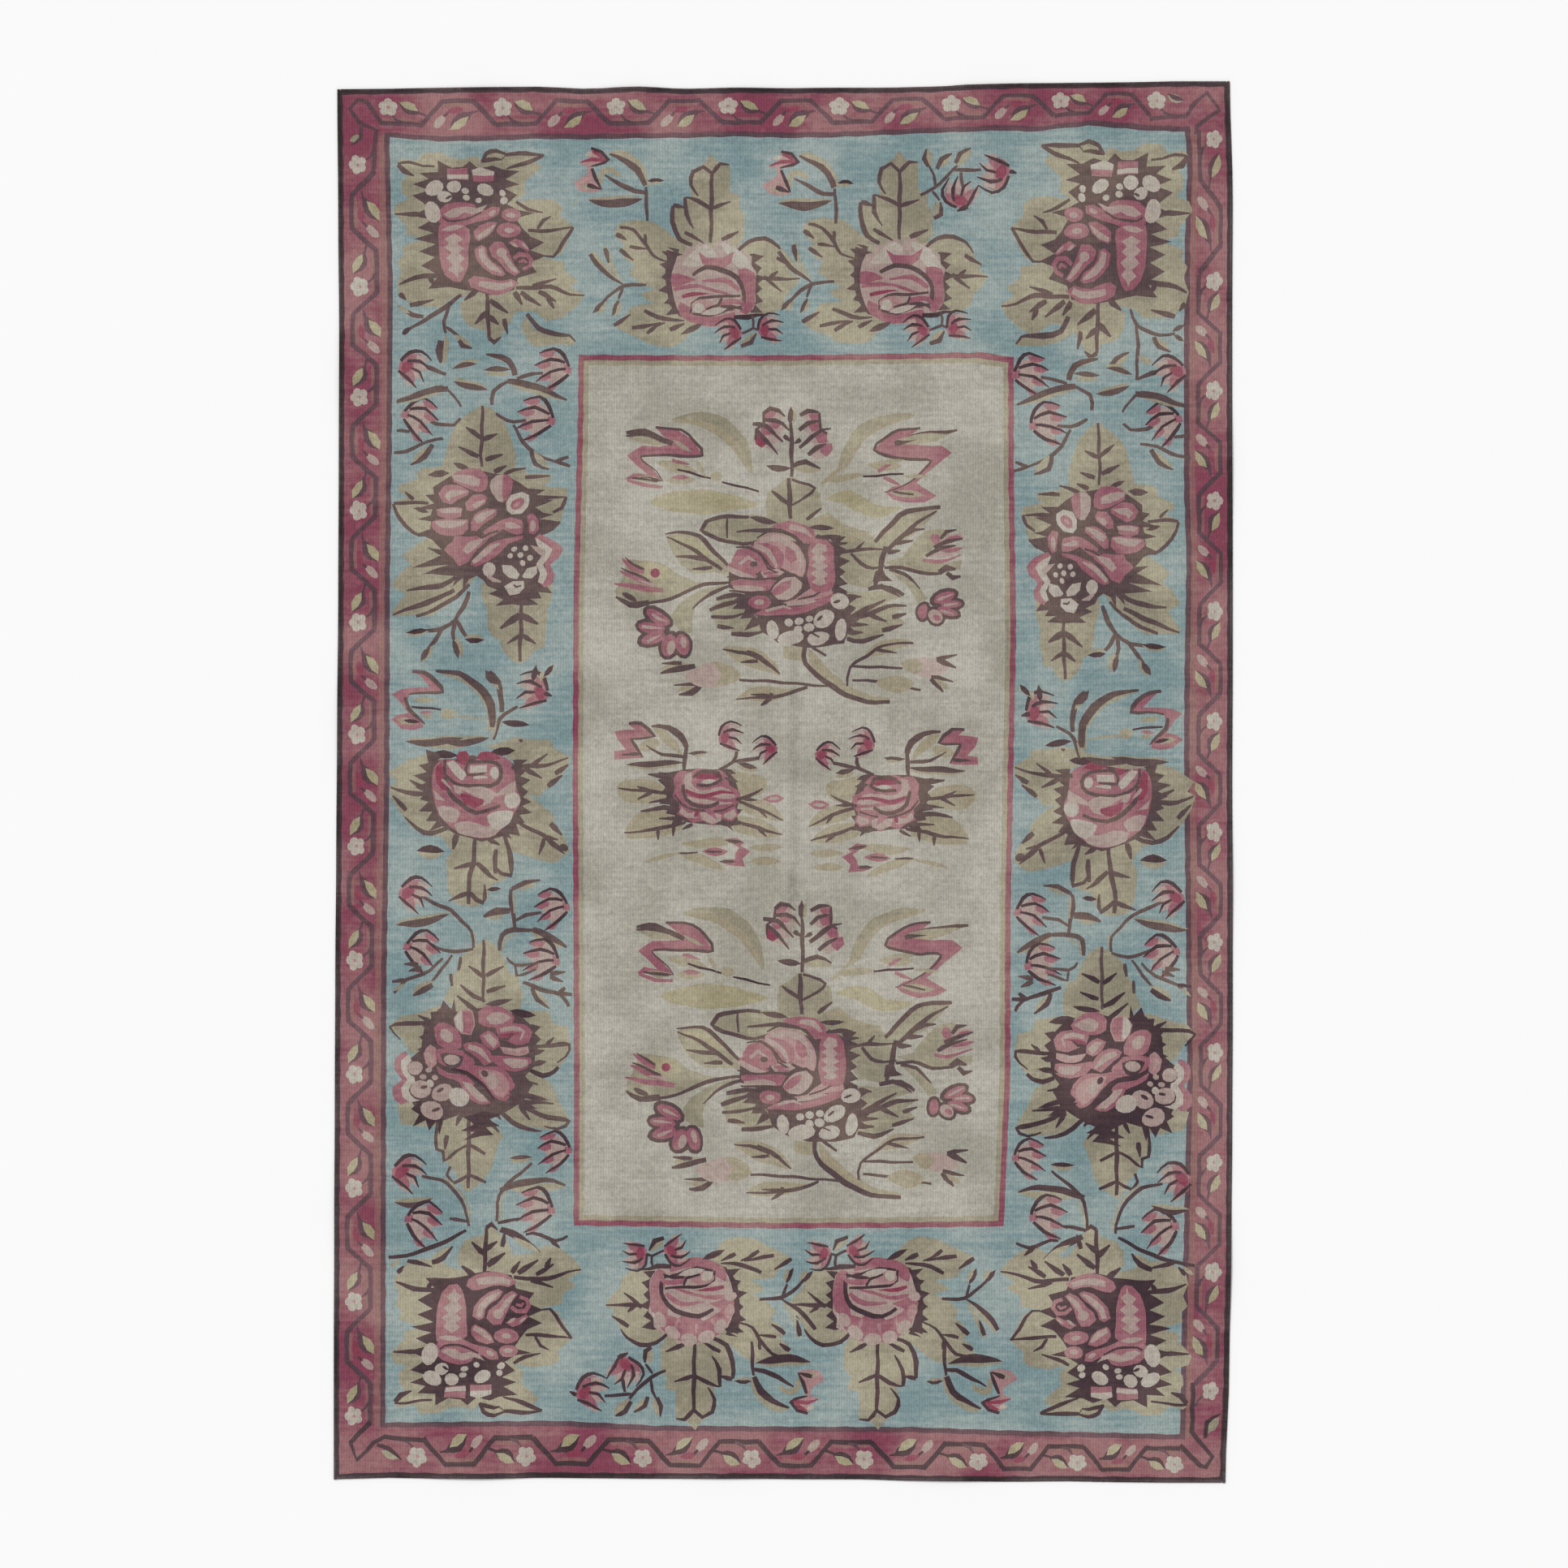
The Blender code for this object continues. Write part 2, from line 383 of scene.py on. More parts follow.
def leaf(start, end, width, belly=0.0):
    run = math.dist(start, end)
    ux, uy = (end[0] - start[0]) / run, (end[1] - start[1]) / run
    steps = max(3, round(run / 1.4))
    outline = []
    for side, order in ((1, range(steps + 1)), (-1, range(steps - 1, 0, -1))):
        for k in order:
            swell = math.sin(math.pi * k / steps)
            off = side * width / 2 * abs(swell) ** 0.8 + belly * swell
            far = run * k / steps
            outline.append((start[0] + ux * far - uy * off, start[1] + uy * far + ux * off))
    return outline


def oval(x, y, rx, ry, turn=0.0):
    count = max(6, min(12, round(1.7 * (rx + ry) + 5)))
    c, s = math.cos(math.radians(turn)), math.sin(math.radians(turn))
    outline = []
    for k in range(count):
        u = rx * math.cos(2 * math.pi * k / count)
        v = ry * math.sin(2 * math.pi * k / count)
        outline.append((x + u * c - v * s, y + u * s + v * c))
    return outline


# %% Strokes and teeth
def stroke(points, width):
    left, right = [], []
    for (x, y), (nx, ny) in zip(points, normals(points)):
        left.append((x + nx * width / 2, y + ny * width / 2))
        right.append((x - nx * width / 2, y - ny * width / 2))
    return left + right[::-1]


TOOTH_SHARES = (1.0, 0.72, 0.9, 0.6, 0.82)


def teeth(points, depth, pitch):
    """A comb to the left of a line, its points of uneven depth."""
    line = smooth(points, False, pitch / 2)
    if len(line) % 2 == 0:
        line.insert(-1, ((line[-1][0] + line[-2][0]) / 2, (line[-1][1] + line[-2][1]) / 2))
    comb, back = [], []
    for i, ((x, y), (nx, ny)) in enumerate(zip(line, normals(line))):
        far = depth * (TOOTH_SHARES[i // 2 % len(TOOTH_SHARES)] if i % 2 else 0.12)
        comb.append((x + nx * far, y + ny * far))
        if i % 2 == 0:
            back.append((x - nx * 0.5, y - ny * 0.5))
    return comb + back[::-1]


# %% The two half-open flowers, facing right from the calyx, with madder roots or madder tips
BUD = """
soft rose : -.2,-.6 -.4,.7 .5,2.2 1.6,3.5 3.2,4 4.8,3.4 3.6,2.4 5.2,1.7 4.2,.7 4.8,-.6 3.5,-1.1
    3.9,-2.4 2.4,-2.6 .7,-1.7
soft crimson : .3,-.3 .3,1 1.6,2.3 2.7,1.5 2.3,0 1.2,-.9
soft pale : 3,3.7 4.6,3.5 5.8,2.7 4.3,2.3 2.9,2.7 / 2.9,1.7 4.8,1.8 6.2,.9 4.3,.5 2.9,.8 / 2.8,-.1
    4.6,-.2 5.2,-1.5 3.7,-1.3 / 1.7,-2.4 3.6,-2.2 4.6,-3.1 2.9,-3.3
vein dark .8 : -.1,1.4 1.3,3.7 3.6,4.5 6.2,3
vein dark .75 : 1.3,1.9 3.8,2.4 6.5,1.1
vein dark .65 : 2.4,.6 4.4,0 5.6,-1.7
vein dark .75 : -.2,-.6 1.8,-1.6 4.6,-3.3
"""
BLOOM = """
soft pale : 0,-.4 .2,1.4 1.6,3.2 3.6,3.6 5.4,3 4.4,1.6 5.6,.6 4.4,-.6 5,-2 3.2,-2.4 4,-3.6 1.8,-2.6
soft rose : -.8,-.6 -.9,.7 .6,1.2 .8,-.4
soft rose : 2.4,3.9 4.2,3.9 6,2.9 4.6,2.5 3,2.8 / 3.4,1.6 5,1.9 6.6,.8 5,.2 3.6,.7 / 3.2,-.8 5,-.8
    6,-2.2 4.4,-2.3 3.2,-1.7 / 1.8,-3.2 3.6,-3 4.8,-4.2 3,-4.3
vein dark .8 : -.4,.8 .8,3.2 2.8,4.4 5.8,3.2
vein dark .75 : .4,1.5 3.4,2.3 6.6,.8
vein dark .65 : .4,.3 3.4,-.4 6.4,-2.5
vein dark .75 : -.2,-.7 1.8,-2.6 4.9,-4.4
"""


def turned(chart, x, y, size, turn):
    """A flower's shapes, turned to face a direction and never upside down."""
    c, s = math.cos(math.radians(turn)), math.sin(math.radians(turn))
    flip = -1 if c < 0 else 1
    for yarn, shape in read_chart(chart):
        places_there = [(size * u, size * flip * v) for u, v in shape]
        yield yarn, [(x + u * c - v * s, y + u * s + v * c) for u, v in places_there]


# %% Reading a chart
def shapes_of(row):
    """The yarn and outline of each shape of one row."""
    head, corners = row.split(":")
    kind, *words = head.split()
    yarn = None if kind in ("bud", "bloom") else words.pop(0)
    sizes = [float(word) for word in words]
    for part in corners.split("/"):
        points = places(part)
        if kind == "area":
            yield yarn, points
        elif kind == "soft":
            yield yarn, smooth(points, True, CURVE_STEP)
        elif kind == "stroke":
            yield yarn, stroke(points, *sizes)
        elif kind == "line":
            yield yarn, ribbon(points, *sizes, 0.7, 0.7)
        elif kind == "vein":
            yield yarn, ribbon(points, *sizes, 0.75, 0.3)
        elif kind == "leaf":
            yield yarn, leaf(*points, *sizes)
        elif kind == "oval":
            yield from ((yarn, oval(x, y, *sizes)) for x, y in points)
        elif kind == "teeth":
            yield yarn, teeth(points, *sizes)
        elif kind in ("bud", "bloom"):
            for x, y in points:
                yield from turned(BUD if kind == "bud" else BLOOM, x, y, *sizes)


def read_chart(chart):
    rows = []
    for line in chart.strip().splitlines():
        if ":" in line:
            rows.append(line)
        else:
            rows[-1] += " " + line.strip()
    return [shape for row in rows for shape in shapes_of(row)]


# %% [markdown]
# ## The corner bouquets
#
# Each corner of the blue band has a round bouquet on a large cut leaf: one petal with a zig-zag down its
# middle, a spiral rose, and a cluster of white berries at the outer side, all on a dark ground whose
# combed edge is the shadow between the leaves.

# %% Corner bouquet, and the twigs near it
CORNER = """
area khaki : -78,125 -77,125.8 -74,125.3 -72.5,127 -69,127 -67,126 -65,125.7 -62,126.3 -61,125.4
    -60.3,126.8 -58.5,127.5 -55.5,127.2 -48,126.8 -50.5,125.5 -48.8,124 -50.5,122.5 -52.3,121 -52,118.5
    -54,117 -50,117.7 -46,117.3 -44.5,116 -45,114.5 -42.2,112 -43.5,109 -45,106.5 -48.5,105.8 -44.2,105
    -44,103 -41.3,101.3 -43,100 -40,98.2 -41.5,96 -44.5,93.7 -47.5,93 -50,94.8 -54,95 -55,93 -56.8,90.5
    -58,88.3 -59.5,89.5 -60.3,91 -63.5,92 -65,94 -65.2,96.5 -63.8,98 -67,97.5 -69,95.8 -74.5,96
    -77.5,98.5 -78,100.5 -77,103 -77.8,105 -76.5,106.5 -77,108 -75,108.8 -72,109.5 -76.2,110.5 -76,112
    -78.8,115 -78,116.8 -75.5,117.5 -77,119 -77,121 -75.8,122.5 -77,123.8
area brown : -69.8,125.4 -67,124 -64.6,124.2 -63.2,125.3 -61.4,123.7 -58.8,124.5 -56.8,123.6
    -53.2,123.3 -56,121.6 -53.2,120.6 -56.2,119.8 -53.6,118.4 -55.8,116.6 -53.6,115.4 -50.2,114.8
    -53.8,113.8 -52.6,111.7 -51,110 -48.2,108.9 -51,107.4 -47.8,106.1 -51.2,104.8 -49.8,102.8
    -53.4,101.7 -54.4,99.2 -59,98.3 -63.4,99.2 -67.4,99.8 -71.6,99.6 -69.6,102.2 -73.2,104.2
    -70.2,105.8 -73.4,107.1 -70.2,108.6 -74.6,109.5 -70.4,110.8 -73.8,111.8 -70.8,113.4 -74.8,114.4
    -71.4,116 -74.8,118.3 -71.4,119.4 -74.8,120.7 -71.6,121.6 -73.4,123 -69.6,123
line brown .6 : -77.9,124.8 -75.4,125 -72.6,124.4 -70.4,124.2
vein brown .91 : -60.8,125 -60,126.7 -57.8,127.4 -55.8,126.7 -56.6,125.8 / -56,126.6 -52,126.8
    -48.2,126.6 / -48.3,126.6 -51,125.3 -56,123.6 / -61,125.2 -58,125.8 -56.6,125.6
vein brown .78 : -51.5,111.2 -47,111.3 -42.4,111.9 / -49.5,111.6 -48.5,113.3 -46.8,114.2 / -42.3,112
    -44,109.5 -45.3,107.3 -46.5,106 -49,106.2 / -54,117 -51.5,115.6 -48.5,114.8
vein brown .91 : -54,99.6 -50,99.8 -47,99.9 -43,98.4 -40.2,98.1 / -50.5,100.2 -45.8,101.5
vein brown 1.15 : -54.3,98.8 -52.6,96.4 / -53,98.8 -49,96 / -49.3,99 -45.8,97 / -47.5,97.6 -46.3,95.6
line brown .91 : -59.8,98.8 -59.6,94 -59.4,89.6
vein brown 1.26 : -59.6,95 -62.3,92.5 / -59.5,94 -57.3,92.3 / -59.3,97.3 -55.6,94.6 / -61.8,99.3
    -64.3,97.2
vein brown 1.04 : -56.3,93.5 -55.6,90.4 / -59.4,89.6 -58.3,88.8 -57,89.9
vein brown 1.04 : -69,102.3 -74,101.8 -77.6,100.5 / -71.3,101.8 -70.3,100.3 / -75.3,96.2 -70.5,97.3 /
    -77.4,98.6 -76,97.2 / -72.5,114.6 -78.3,114.6
vein brown 1.2 : -77.8,124.6 -76.6,123.2 -74.6,122.4
soft rose : -69.4,112.4 -68.8,113 -66,112.7 -63.4,111.5 -63.5,107 -63.9,103 -65.3,100.8 -66.8,101
    -68.4,102.5 -69.2,105.4 -69.6,108.7
soft rose : -69.4,112.8 -69.5,115.2 -68,116.5 -65,117.1 -62.6,116.6 -61.6,115.4 -60.2,115.4 -58.6,116.2
    -57,116 -57.4,114.6 -59.6,113.6 -62,113 -64,112.2 -66.6,112.4
soft pale : -68.6,114.5 -66.8,115.7 -64,116.2 -61.8,115.7 -59.6,116.5 -60.8,115.2 -62.6,114.5
    -64.4,114.9 -65.6,114.1 -67.4,113.9
line brown .5 : -68.9,114 -67.8,113.3 -65,113.3 -62.8,113.9 -61,114.9
oval pale .9 .5 30 : -58.7,114.9
leaf pale 1.2 : -69,111.5 -64.4,112.1
area pale : -66.4,110.7 -64.6,109.6 -65.6,108.7 -64.4,107.8 -65.5,106.8 -64.3,105.7 -65.4,104.6
    -64.3,103.4 -65.4,102.6 -65.7,101.4 -66.2,102.5 -67.6,103.4 -66.6,104.5 -68,105.7 -67,106.8
    -68.5,107.8 -67.4,108.7 -68.3,109.6
soft rose : -62.5,111.1 -61.4,112.3 -59.4,113.1 -57.8,112.8 -58.4,111.1 -59.8,109.9 -61.6,109.1
    -62.3,109.7
vein pale 1.2 : -61.8,109.8 -60,110.7 -58.3,112.3
oval rose 2 1.3 : -54.9,114.4
oval rose 2.5 1.5 : -55.4,111.4
oval pale 1 .55 : -54.9,114.3 -55.4,111.4
soft rose : -62.3,107.4 -61,108.3 -60,107.8 -59.6,106.2 -58.6,105 -56.9,103.8 -56,102.5 -56.9,102
    -59,102.5 -60.6,103.8 -61.9,105.4
vein pale 1.4 : -61,107.6 -60.5,105.7 -59,104.1 -56.8,102.7
soft rose : -59.5,107.8 -58.2,109.1 -56.5,109.1 -55.5,107.4 -55,105.8 -54.1,104.2 -53,102.9 -54.1,102.2
    -55.7,103.1 -57.3,105 -58.8,106.2
oval pale 1.1 1 : -56.9,106.9
vein pale 1.1 : -56.5,106.3 -55.3,104.5 -53.6,102.9
soft rose : -55.5,108.8 -54.1,109.6 -52.4,109 -51,107.4 -51.5,107 -52.8,107.8 -54.5,108.2
leaf pale .7 : -55,108.9 -53.4,107.8
leaf pale .6 : -52.8,108.7 -51.3,107.5
line rose 1 : -54.5,105.5 -53.3,106.5 -51.6,106.4 -50.8,105.3 -51.2,104.1 -52.6,103.5
line rose .7 : -53.5,105 -52.4,105.4 -51.8,104.8
soft rose : -63.5,101.4 -62.3,102.2 -59.8,101.7 -58.2,101.2 -56.5,101.2 -54.9,101.6 -53.3,100.6
    -54.5,99.7 -55.7,98.8 -58.2,98.3 -61.4,99.1 -63.1,100
line pale 1.5 : -61.3,100.5 -58.8,100.1 -56.4,100.1 -54.6,100.7
oval white 2 1.4 30 : -70.4,119.9
oval white 1.5 1.3 : -66.4,120.1
oval white 1.5 1.2 -20 : -68.4,118.1
oval brown .7 .3 30 : -67.6,117.9
oval white .8 .6 : -64.1,119.3 -63.9,118
oval white .7 .6 : -61.4,117.3
oval white 1.8 1.2 -30 : -60.2,119.5
oval white .7 .7 : -56.7,118.9
oval white .8 .8 : -56.4,117.4
oval white 1.6 2.3 15 : -70.8,115
area rose : -67.9,123.8 -63.7,123.9 -63.6,121.4 -67.7,121.6
area white : -67.8,122.7 -63.6,122.5 -63.6,121.6 -67.7,121.8
area rose : -62.8,123.4 -61,124 -58.3,123 -58.4,121.2 -62.6,121.2
area white : -62.8,123.4 -61,124 -58.3,123.2 -58.3,122.4 -62.7,122.4
"""
TWIG = """
line brown .91 : -65,98.4 -68,96 -72,93.3 -75.5,91.4
oval dark 1.1 .6 40 : -76,91
vein brown 1.04 : -72.6,93.8 -75,94.4 -77.8,96
leaf khaki 1 : -77.8,96 -75.4,94.6
line brown .78 : -67.4,96.3 -68.4,93 -68.2,90.5 / -68.2,91.9 -66,90.3 -64.8,89.2
leaf khaki 1.8 : -66.3,90.3 -62.8,87.4
vein brown 1.15 : -65.5,89.2 -64.8,88.1 -62.9,87.4
leaf khaki 1.7 : -68,90.3 -68.5,84.2
vein brown 1.61 : -69,89 -69.4,87 -69.2,84.6
"""
COMMA = """
soft khaki : -52,93.8 -50.5,91.4 -47,90.4 -43,90.4 -42,88.2 -45,88.4 -50,87.8 -51.8,89.8 -53,92
vein brown 1.15 : -51.7,94.4 -49.5,91.7 -46,90.3 -43,90.2 -41.9,88.8
"""
TOP_RIGHT_TWIG = """
line brown .78 : 70,95.4 71.5,92 76,90.2 79,90.4
leaf brown 1 : 78.4,90.8 81.2,92.2
leaf brown 1 : 78.6,90.2 80.8,89
leaf khaki 1.5 : 74.8,89.8 78.2,86.8
vein brown 1.04 : 74.9,89.9 75.8,87.8 78.3,86.8
line brown .78 : 71.3,92 71.6,88 71.4,84.6 71.3,81
leaf khaki 1.6 : 65.8,83.4 69.8,86.4
vein brown 1.03 : 65.8,83.4 67.2,85.4 69.9,86.6
leaf khaki 1.4 : 71.6,86 74.8,84.2
soft khaki : 58,93.6 56.6,91.6 53.4,90.6 48.4,90.4 46.9,88.2 51,88 55,88.6 57.4,89.8 59.6,92
vein brown 1.26 : 57.6,94 56,91 52.4,90 48,89.9 47,88.4
"""

# %% [markdown]
# ## The ends of the blue band
#
# Two large roses stand on one tall leaf each, with sprays of tulips and buds between them. The same row
# serves the other end, turned by half a turn, so that the picture reads from both ends of the room.

# %% Rose on a tall leaf
BAND_ROSE = """
area khaki : -14.7,126.8 -13,125 -10.8,124.8 -10.8,119 -8.6,118.5 -9,116 -7.8,114.5 -7.8,110 -9.5,107.5
    -18,107.5 -20.5,108.3 -21.5,110 -22.3,112.5 -22.3,116.5 -20,116.2 -19.8,118.2 -18.3,117.3 -18.8,120
    -18.6,123 -17,124.3 -15.8,125.2
area khaki : -34,111.5 -33,112.8 -30,113.4 -26,113 -24,111.5 -21.5,109.5 -19,107.5 -20,101 -20,95
    -16.5,92 -19,90.3 -20.5,88.5 -23,87.7 -27,88.3 -29,89.5 -32.5,91 -34.3,92.2 -31.5,94.5 -30.5,96
    -26,96.6 -28,97.5 -28.8,98.6 -26,99.3 -28.5,100.5 -31,102.5 -30,104.5 -31.2,105 -33.2,107.2
    -31.8,108.3 -33.8,110
area khaki : -9.5,107.6 -7,109 -3,109.3 0,107.5 .5,105.5 2,104 1.5,102.8 3.5,101.5 2,99.5 .5,98 0,96
    -2,94.5 -7,94 -8,104
area brown : -23.5,107.5 -19,106 -18,93 -21,94 -23,96.5 -23.8,101
teeth brown 3 2.1 : -20.8,94.6 -22.3,98.5 -22.8,103 -21.3,107.6
teeth brown 2.3 1.9 : -6.3,106.5 -5.7,102.5 -5.6,98.5 -6.6,94.8
soft pale : -22,104.4 -21.4,106 -19.9,106.4 -19.5,107.9 -17.7,107.9 -16.8,109.1 -15,108.9 -14.1,107.8
    -13.1,109.2 -11.3,109.5 -10.4,108.1 -8.6,108.3 -7.7,106.8 -6.3,106 -6.3,104.2 -5.4,103 -5.6,101
    -5.6,97 -6.8,94.6 -9.5,93.4 -13,92 -17,92.2 -20.5,94.2 -22,97.5 -22.6,101
soft white : -20.5,104.3 -18.6,106.6 -15.8,108.6 -13.5,106.3 -16,104.2 / -12.5,108.7 -9.5,107.7
    -7.2,105.7 -6.1,103 -9,103.6 -11,106
area rose : -17.2,107 -15.4,105.8 -12.2,105.8 -9.8,107.2 -10.6,104.9 -12.3,103.5 -15.4,103.4 -16.2,104.6
soft rose : -9.2,103.4 -6,103 -5.6,100 -5.8,96.5 -7.3,94.3 -9.2,95.6 -8.2,99
soft rose : -22.3,102.6 -19.5,102.2 -17.5,101.2 -19.4,100.6 -22.4,99.9
soft rose : -20.8,96.8 -19,96 -18.5,94.8 -14,94 -9.8,94.8 -9.4,93.6 -13,92.1 -17.5,92.3 -20.8,94.3
vein rose 1.1 : -8.8,99.3 -12,101.3 -16.5,101
vein rose 1 : -22.2,99.4 -18.6,100 -14.5,99.3 -10.5,98.2
vein crimson .9 : -20.5,97.8 -17.5,98.6 -13.5,98.9
vein pale .8 : -20.9,98.6 -17,99.3 -12.7,98.3
line brown 1.03 : -18.4,102.3 -15.5,103.8 -12.2,103.3 -9.2,101.6 -8,99.2 -8,96.6
line brown .65 : -18.6,94.6 -18.5,96.6 -16.9,97.7 -13,97.9 -8.7,98.2
oval pink 2.3 1.4 : -16.3,96.1
oval white 1.1 1.1 : -17.1,95.7
oval rose 2.7 1.3 : -10.4,96.3
oval pale 1.3 .7 -15 : -9.3,95.8
line brown .65 : -18.3,94.6 -15,94.1 -11.5,95.3 -8.3,95.9 / -15.7,95.3 -13,96.2 -12.3,97.6 / -12.6,96
    -10,96 -8.2,95.3
leaf white 1.4 : -16.6,94.3 -11.3,95.6
vein dark 1.04 : -10,93.7 -7,93.8 -5.4,94.3 -3.2,94.3
line brown .91 : -14.4,123 -14.5,116 -14.6,108.9
vein brown .91 : -14.5,122.8 -16.2,124.2 -18.1,123.2 -18.7,120.5 -17.2,118.2 / -14.3,122.8 -12.6,124.7
    -10.8,124.6 / -14.5,115.7 -17,117.2 -19.6,118 / -19.7,118 -19.6,114.6 -18,111.7 / -14.4,115.7
    -10.6,117.1 / -19.9,111 -16,108.8
line brown 1.04 : -22.3,116.4 -22.3,113 -21,109.6 -18.5,108.3
vein brown 1.03 : -22.3,116.5 -19.8,115.8 / -12.4,109.4 -8.9,111
vein brown .78 : -33,112 -30.3,111.4 -27.8,108.5 -26.3,106.2 -22.8,104.8 / -31,108.1 -27.5,107.5 /
    -27.8,110.6 -27.7,108.2
vein brown 1.03 : -33.8,110.7 -31.7,109.3 / -32.9,107.4 -30.2,105.3 / -34.1,92.2 -30.8,94.3 /
    -22.8,91.3 -20,92.6
vein brown .91 : -28,95.1 -24,93.4 -20,93.2 / -30.6,91.6 -24.5,92.6 / -27.6,90.5 -25.5,92 -23.8,92.6
leaf brown 1.3 : -20.7,90.3 -16.2,92.4
vein brown .91 : -9,107.4 -7,109.1 -3.6,109.6 -1,108.2 .3,106.3 / -1.4,105.8 2,103.8 / -4.4,101.6
    3.4,101.5 / -2.6,101.7 -1,103 / -4,102 -2,100.3 -.4,99
line brown .65 : -6.2,94.2 -6.1,91.6 -9.6,90.3 / -6.1,91.6 -4.4,91 -2.7,90.6
leaf khaki 1.6 : -8.7,87.7 -5.4,90.8
vein brown 1.04 : -8.5,87.9 -6.4,88.6 -5.5,90.5
bud .8 185 : -8.6,90.2
bud .8 20 : -4.6,90.2
line brown .78 : -27.6,100.4 -32,100.1 -35.4,97.8 -37,96
vein khaki 1 : -38.6,107 -36.5,104.5 -33,100.8 / -35.8,108.2 -35,105 -32.6,101
vein brown 1.03 : -38.9,106.6 -36.6,103.4 -32.3,100.3 / -36,107.8 -35.2,104.6
leaf brown 1.2 : -36,97.2 -38.5,94.5
leaf khaki 1 : -35.9,96.6 -37.3,94.2
line brown .65 : -32.4,99.8 -33.2,97.4
leaf brown 1.1 : -33,97.4 -34.6,94
leaf khaki .9 : -32.6,97 -33.8,94
"""

# %% Tulip spray and bud spray
FRINGE = """
soft rose : -25.8,-106.8 -24.6,-110.4 -21.6,-112.6 -18,-113.2 -14.5,-112.4 -11.7,-110 -10.1,-106.5
    -10.4,-103.5 -13,-107 -18,-109 -23,-107.6
oval pale 1.6 1.1 -60 : -24.7,-108.5
oval blush 1.8 1.15 -35 : -22.4,-111.1
oval pale 1.8 1.3 -5 : -19,-112.5
oval blush 1.7 1.25 20 : -15.5,-112
oval pale 1.6 1.15 50 : -12.7,-109.9
oval pink 1.5 1 70 : -10.9,-106.8
oval pale 1.3 1 : -10.6,-103.8
vein pink .7 : -21,-108.4 -21.8,-110.2 / -17.6,-109.2 -17.5,-111.2 / -14.4,-108.4 -13.8,-110.2
"""
TULIP_SPRAY = """
line brown .78 : -27.5,113.2 -27.6,117.5 -27.8,120.2
soft khaki : -35.2,126.8 -33,127.6 -30,126.2 -27.8,123.6 -27,120.4 -28.2,120.4 -29.5,123.8 -32,125.8
vein brown 1.38 : -27.9,120.4 -29.3,123.4 -31.8,125.3 -35,126.8
leaf dark 1 .2 : -27.4,121.3 -23.9,121.3
leaf khaki .7 : -27.2,120.8 -24.4,121
soft khaki : -37.3,121 -37,123.6 -34.6,124 -32.8,122.6 -33.4,122 -35,122.9 -36.3,122.4 -36.4,120.6
vein brown 1.04 : -27.8,119 -30,119.2 -33,120.7 -36,122.4
leaf khaki 2.2 .5 : -28,117.8 -39.4,117.6
leaf brown 1.8 .9 : -28.2,117.8 -39.4,117.4
area pink : -38.7,127.8 -36.5,127.1 -35.2,125.5 -38.6,124.2 -38.3,122.6 -36.6,119.4 -38.5,118.8
    -41,119.2 -42.4,120.9 -39.5,122.7 -39.4,124.1 -41.4,124.9 -39.4,125.5
oval white .9 .5 20 : -39.3,126.6
vein crimson .8 : -35.6,125.5 -38.6,125.6 -40.9,124.9 / -38.4,127.3 -36.8,126.4 -36,125.4
vein dark .78 : -38.7,127.8 -36.6,127.2 -35.2,125.5 -38.8,124.3 / -38.6,123.9 -37.8,121.8 -36.7,119.5
leaf khaki 1.2 : -41,120.4 -37.4,119.7
vein dark 1.03 : -39.6,120.5 -37,119.6
"""
BUD_SPRAY = """
line brown .78 : -23.7,-118.7 -26.5,-120 -29.5,-122.7 -31.2,-124.6
line brown .78 : -30.6,-123.6 -33,-123.7 -36,-123.8
line brown .65 : -26.8,-120.4 -26.4,-122.8 -25.6,-124.4
leaf khaki 1.6 : -31,-124.4 -34.3,-127.8
vein brown 1.03 : -30.8,-125 -31.8,-127 -34,-128
leaf khaki 1.4 : -27.2,-124 -30.2,-127
vein brown 1.04 : -27.2,-124 -28,-125.9 -30.1,-127.1
leaf khaki 1.7 : -26,-124.2 -25,-128.2
vein brown 1.03 : -25.4,-124.3 -24.6,-126 -24.9,-128
line brown .65 : -26.3,-119.4 -27.7,-117.5
leaf khaki 1.5 : -26.8,-117.6 -27.2,-114
vein brown 1.04 : -26.6,-114 -27.9,-114.8 -27.8,-117.3
line brown .78 : -32,-123.2 -32.3,-120.5 -32.4,-118.2
bud .95 -90 : -32.5,-116.2
vein dark 1.04 : -33.4,-116.3 -31.2,-115.3
bud 1 5 : -41.5,-124
vein dark .91 : -41.8,-123.6 -43.2,-123
"""

# %% [markdown]
# ## The sides of the blue band
#
# From an end to the middle: branches with half-open buds, a bouquet with berries, and at half length a
# single rose under a tulip.

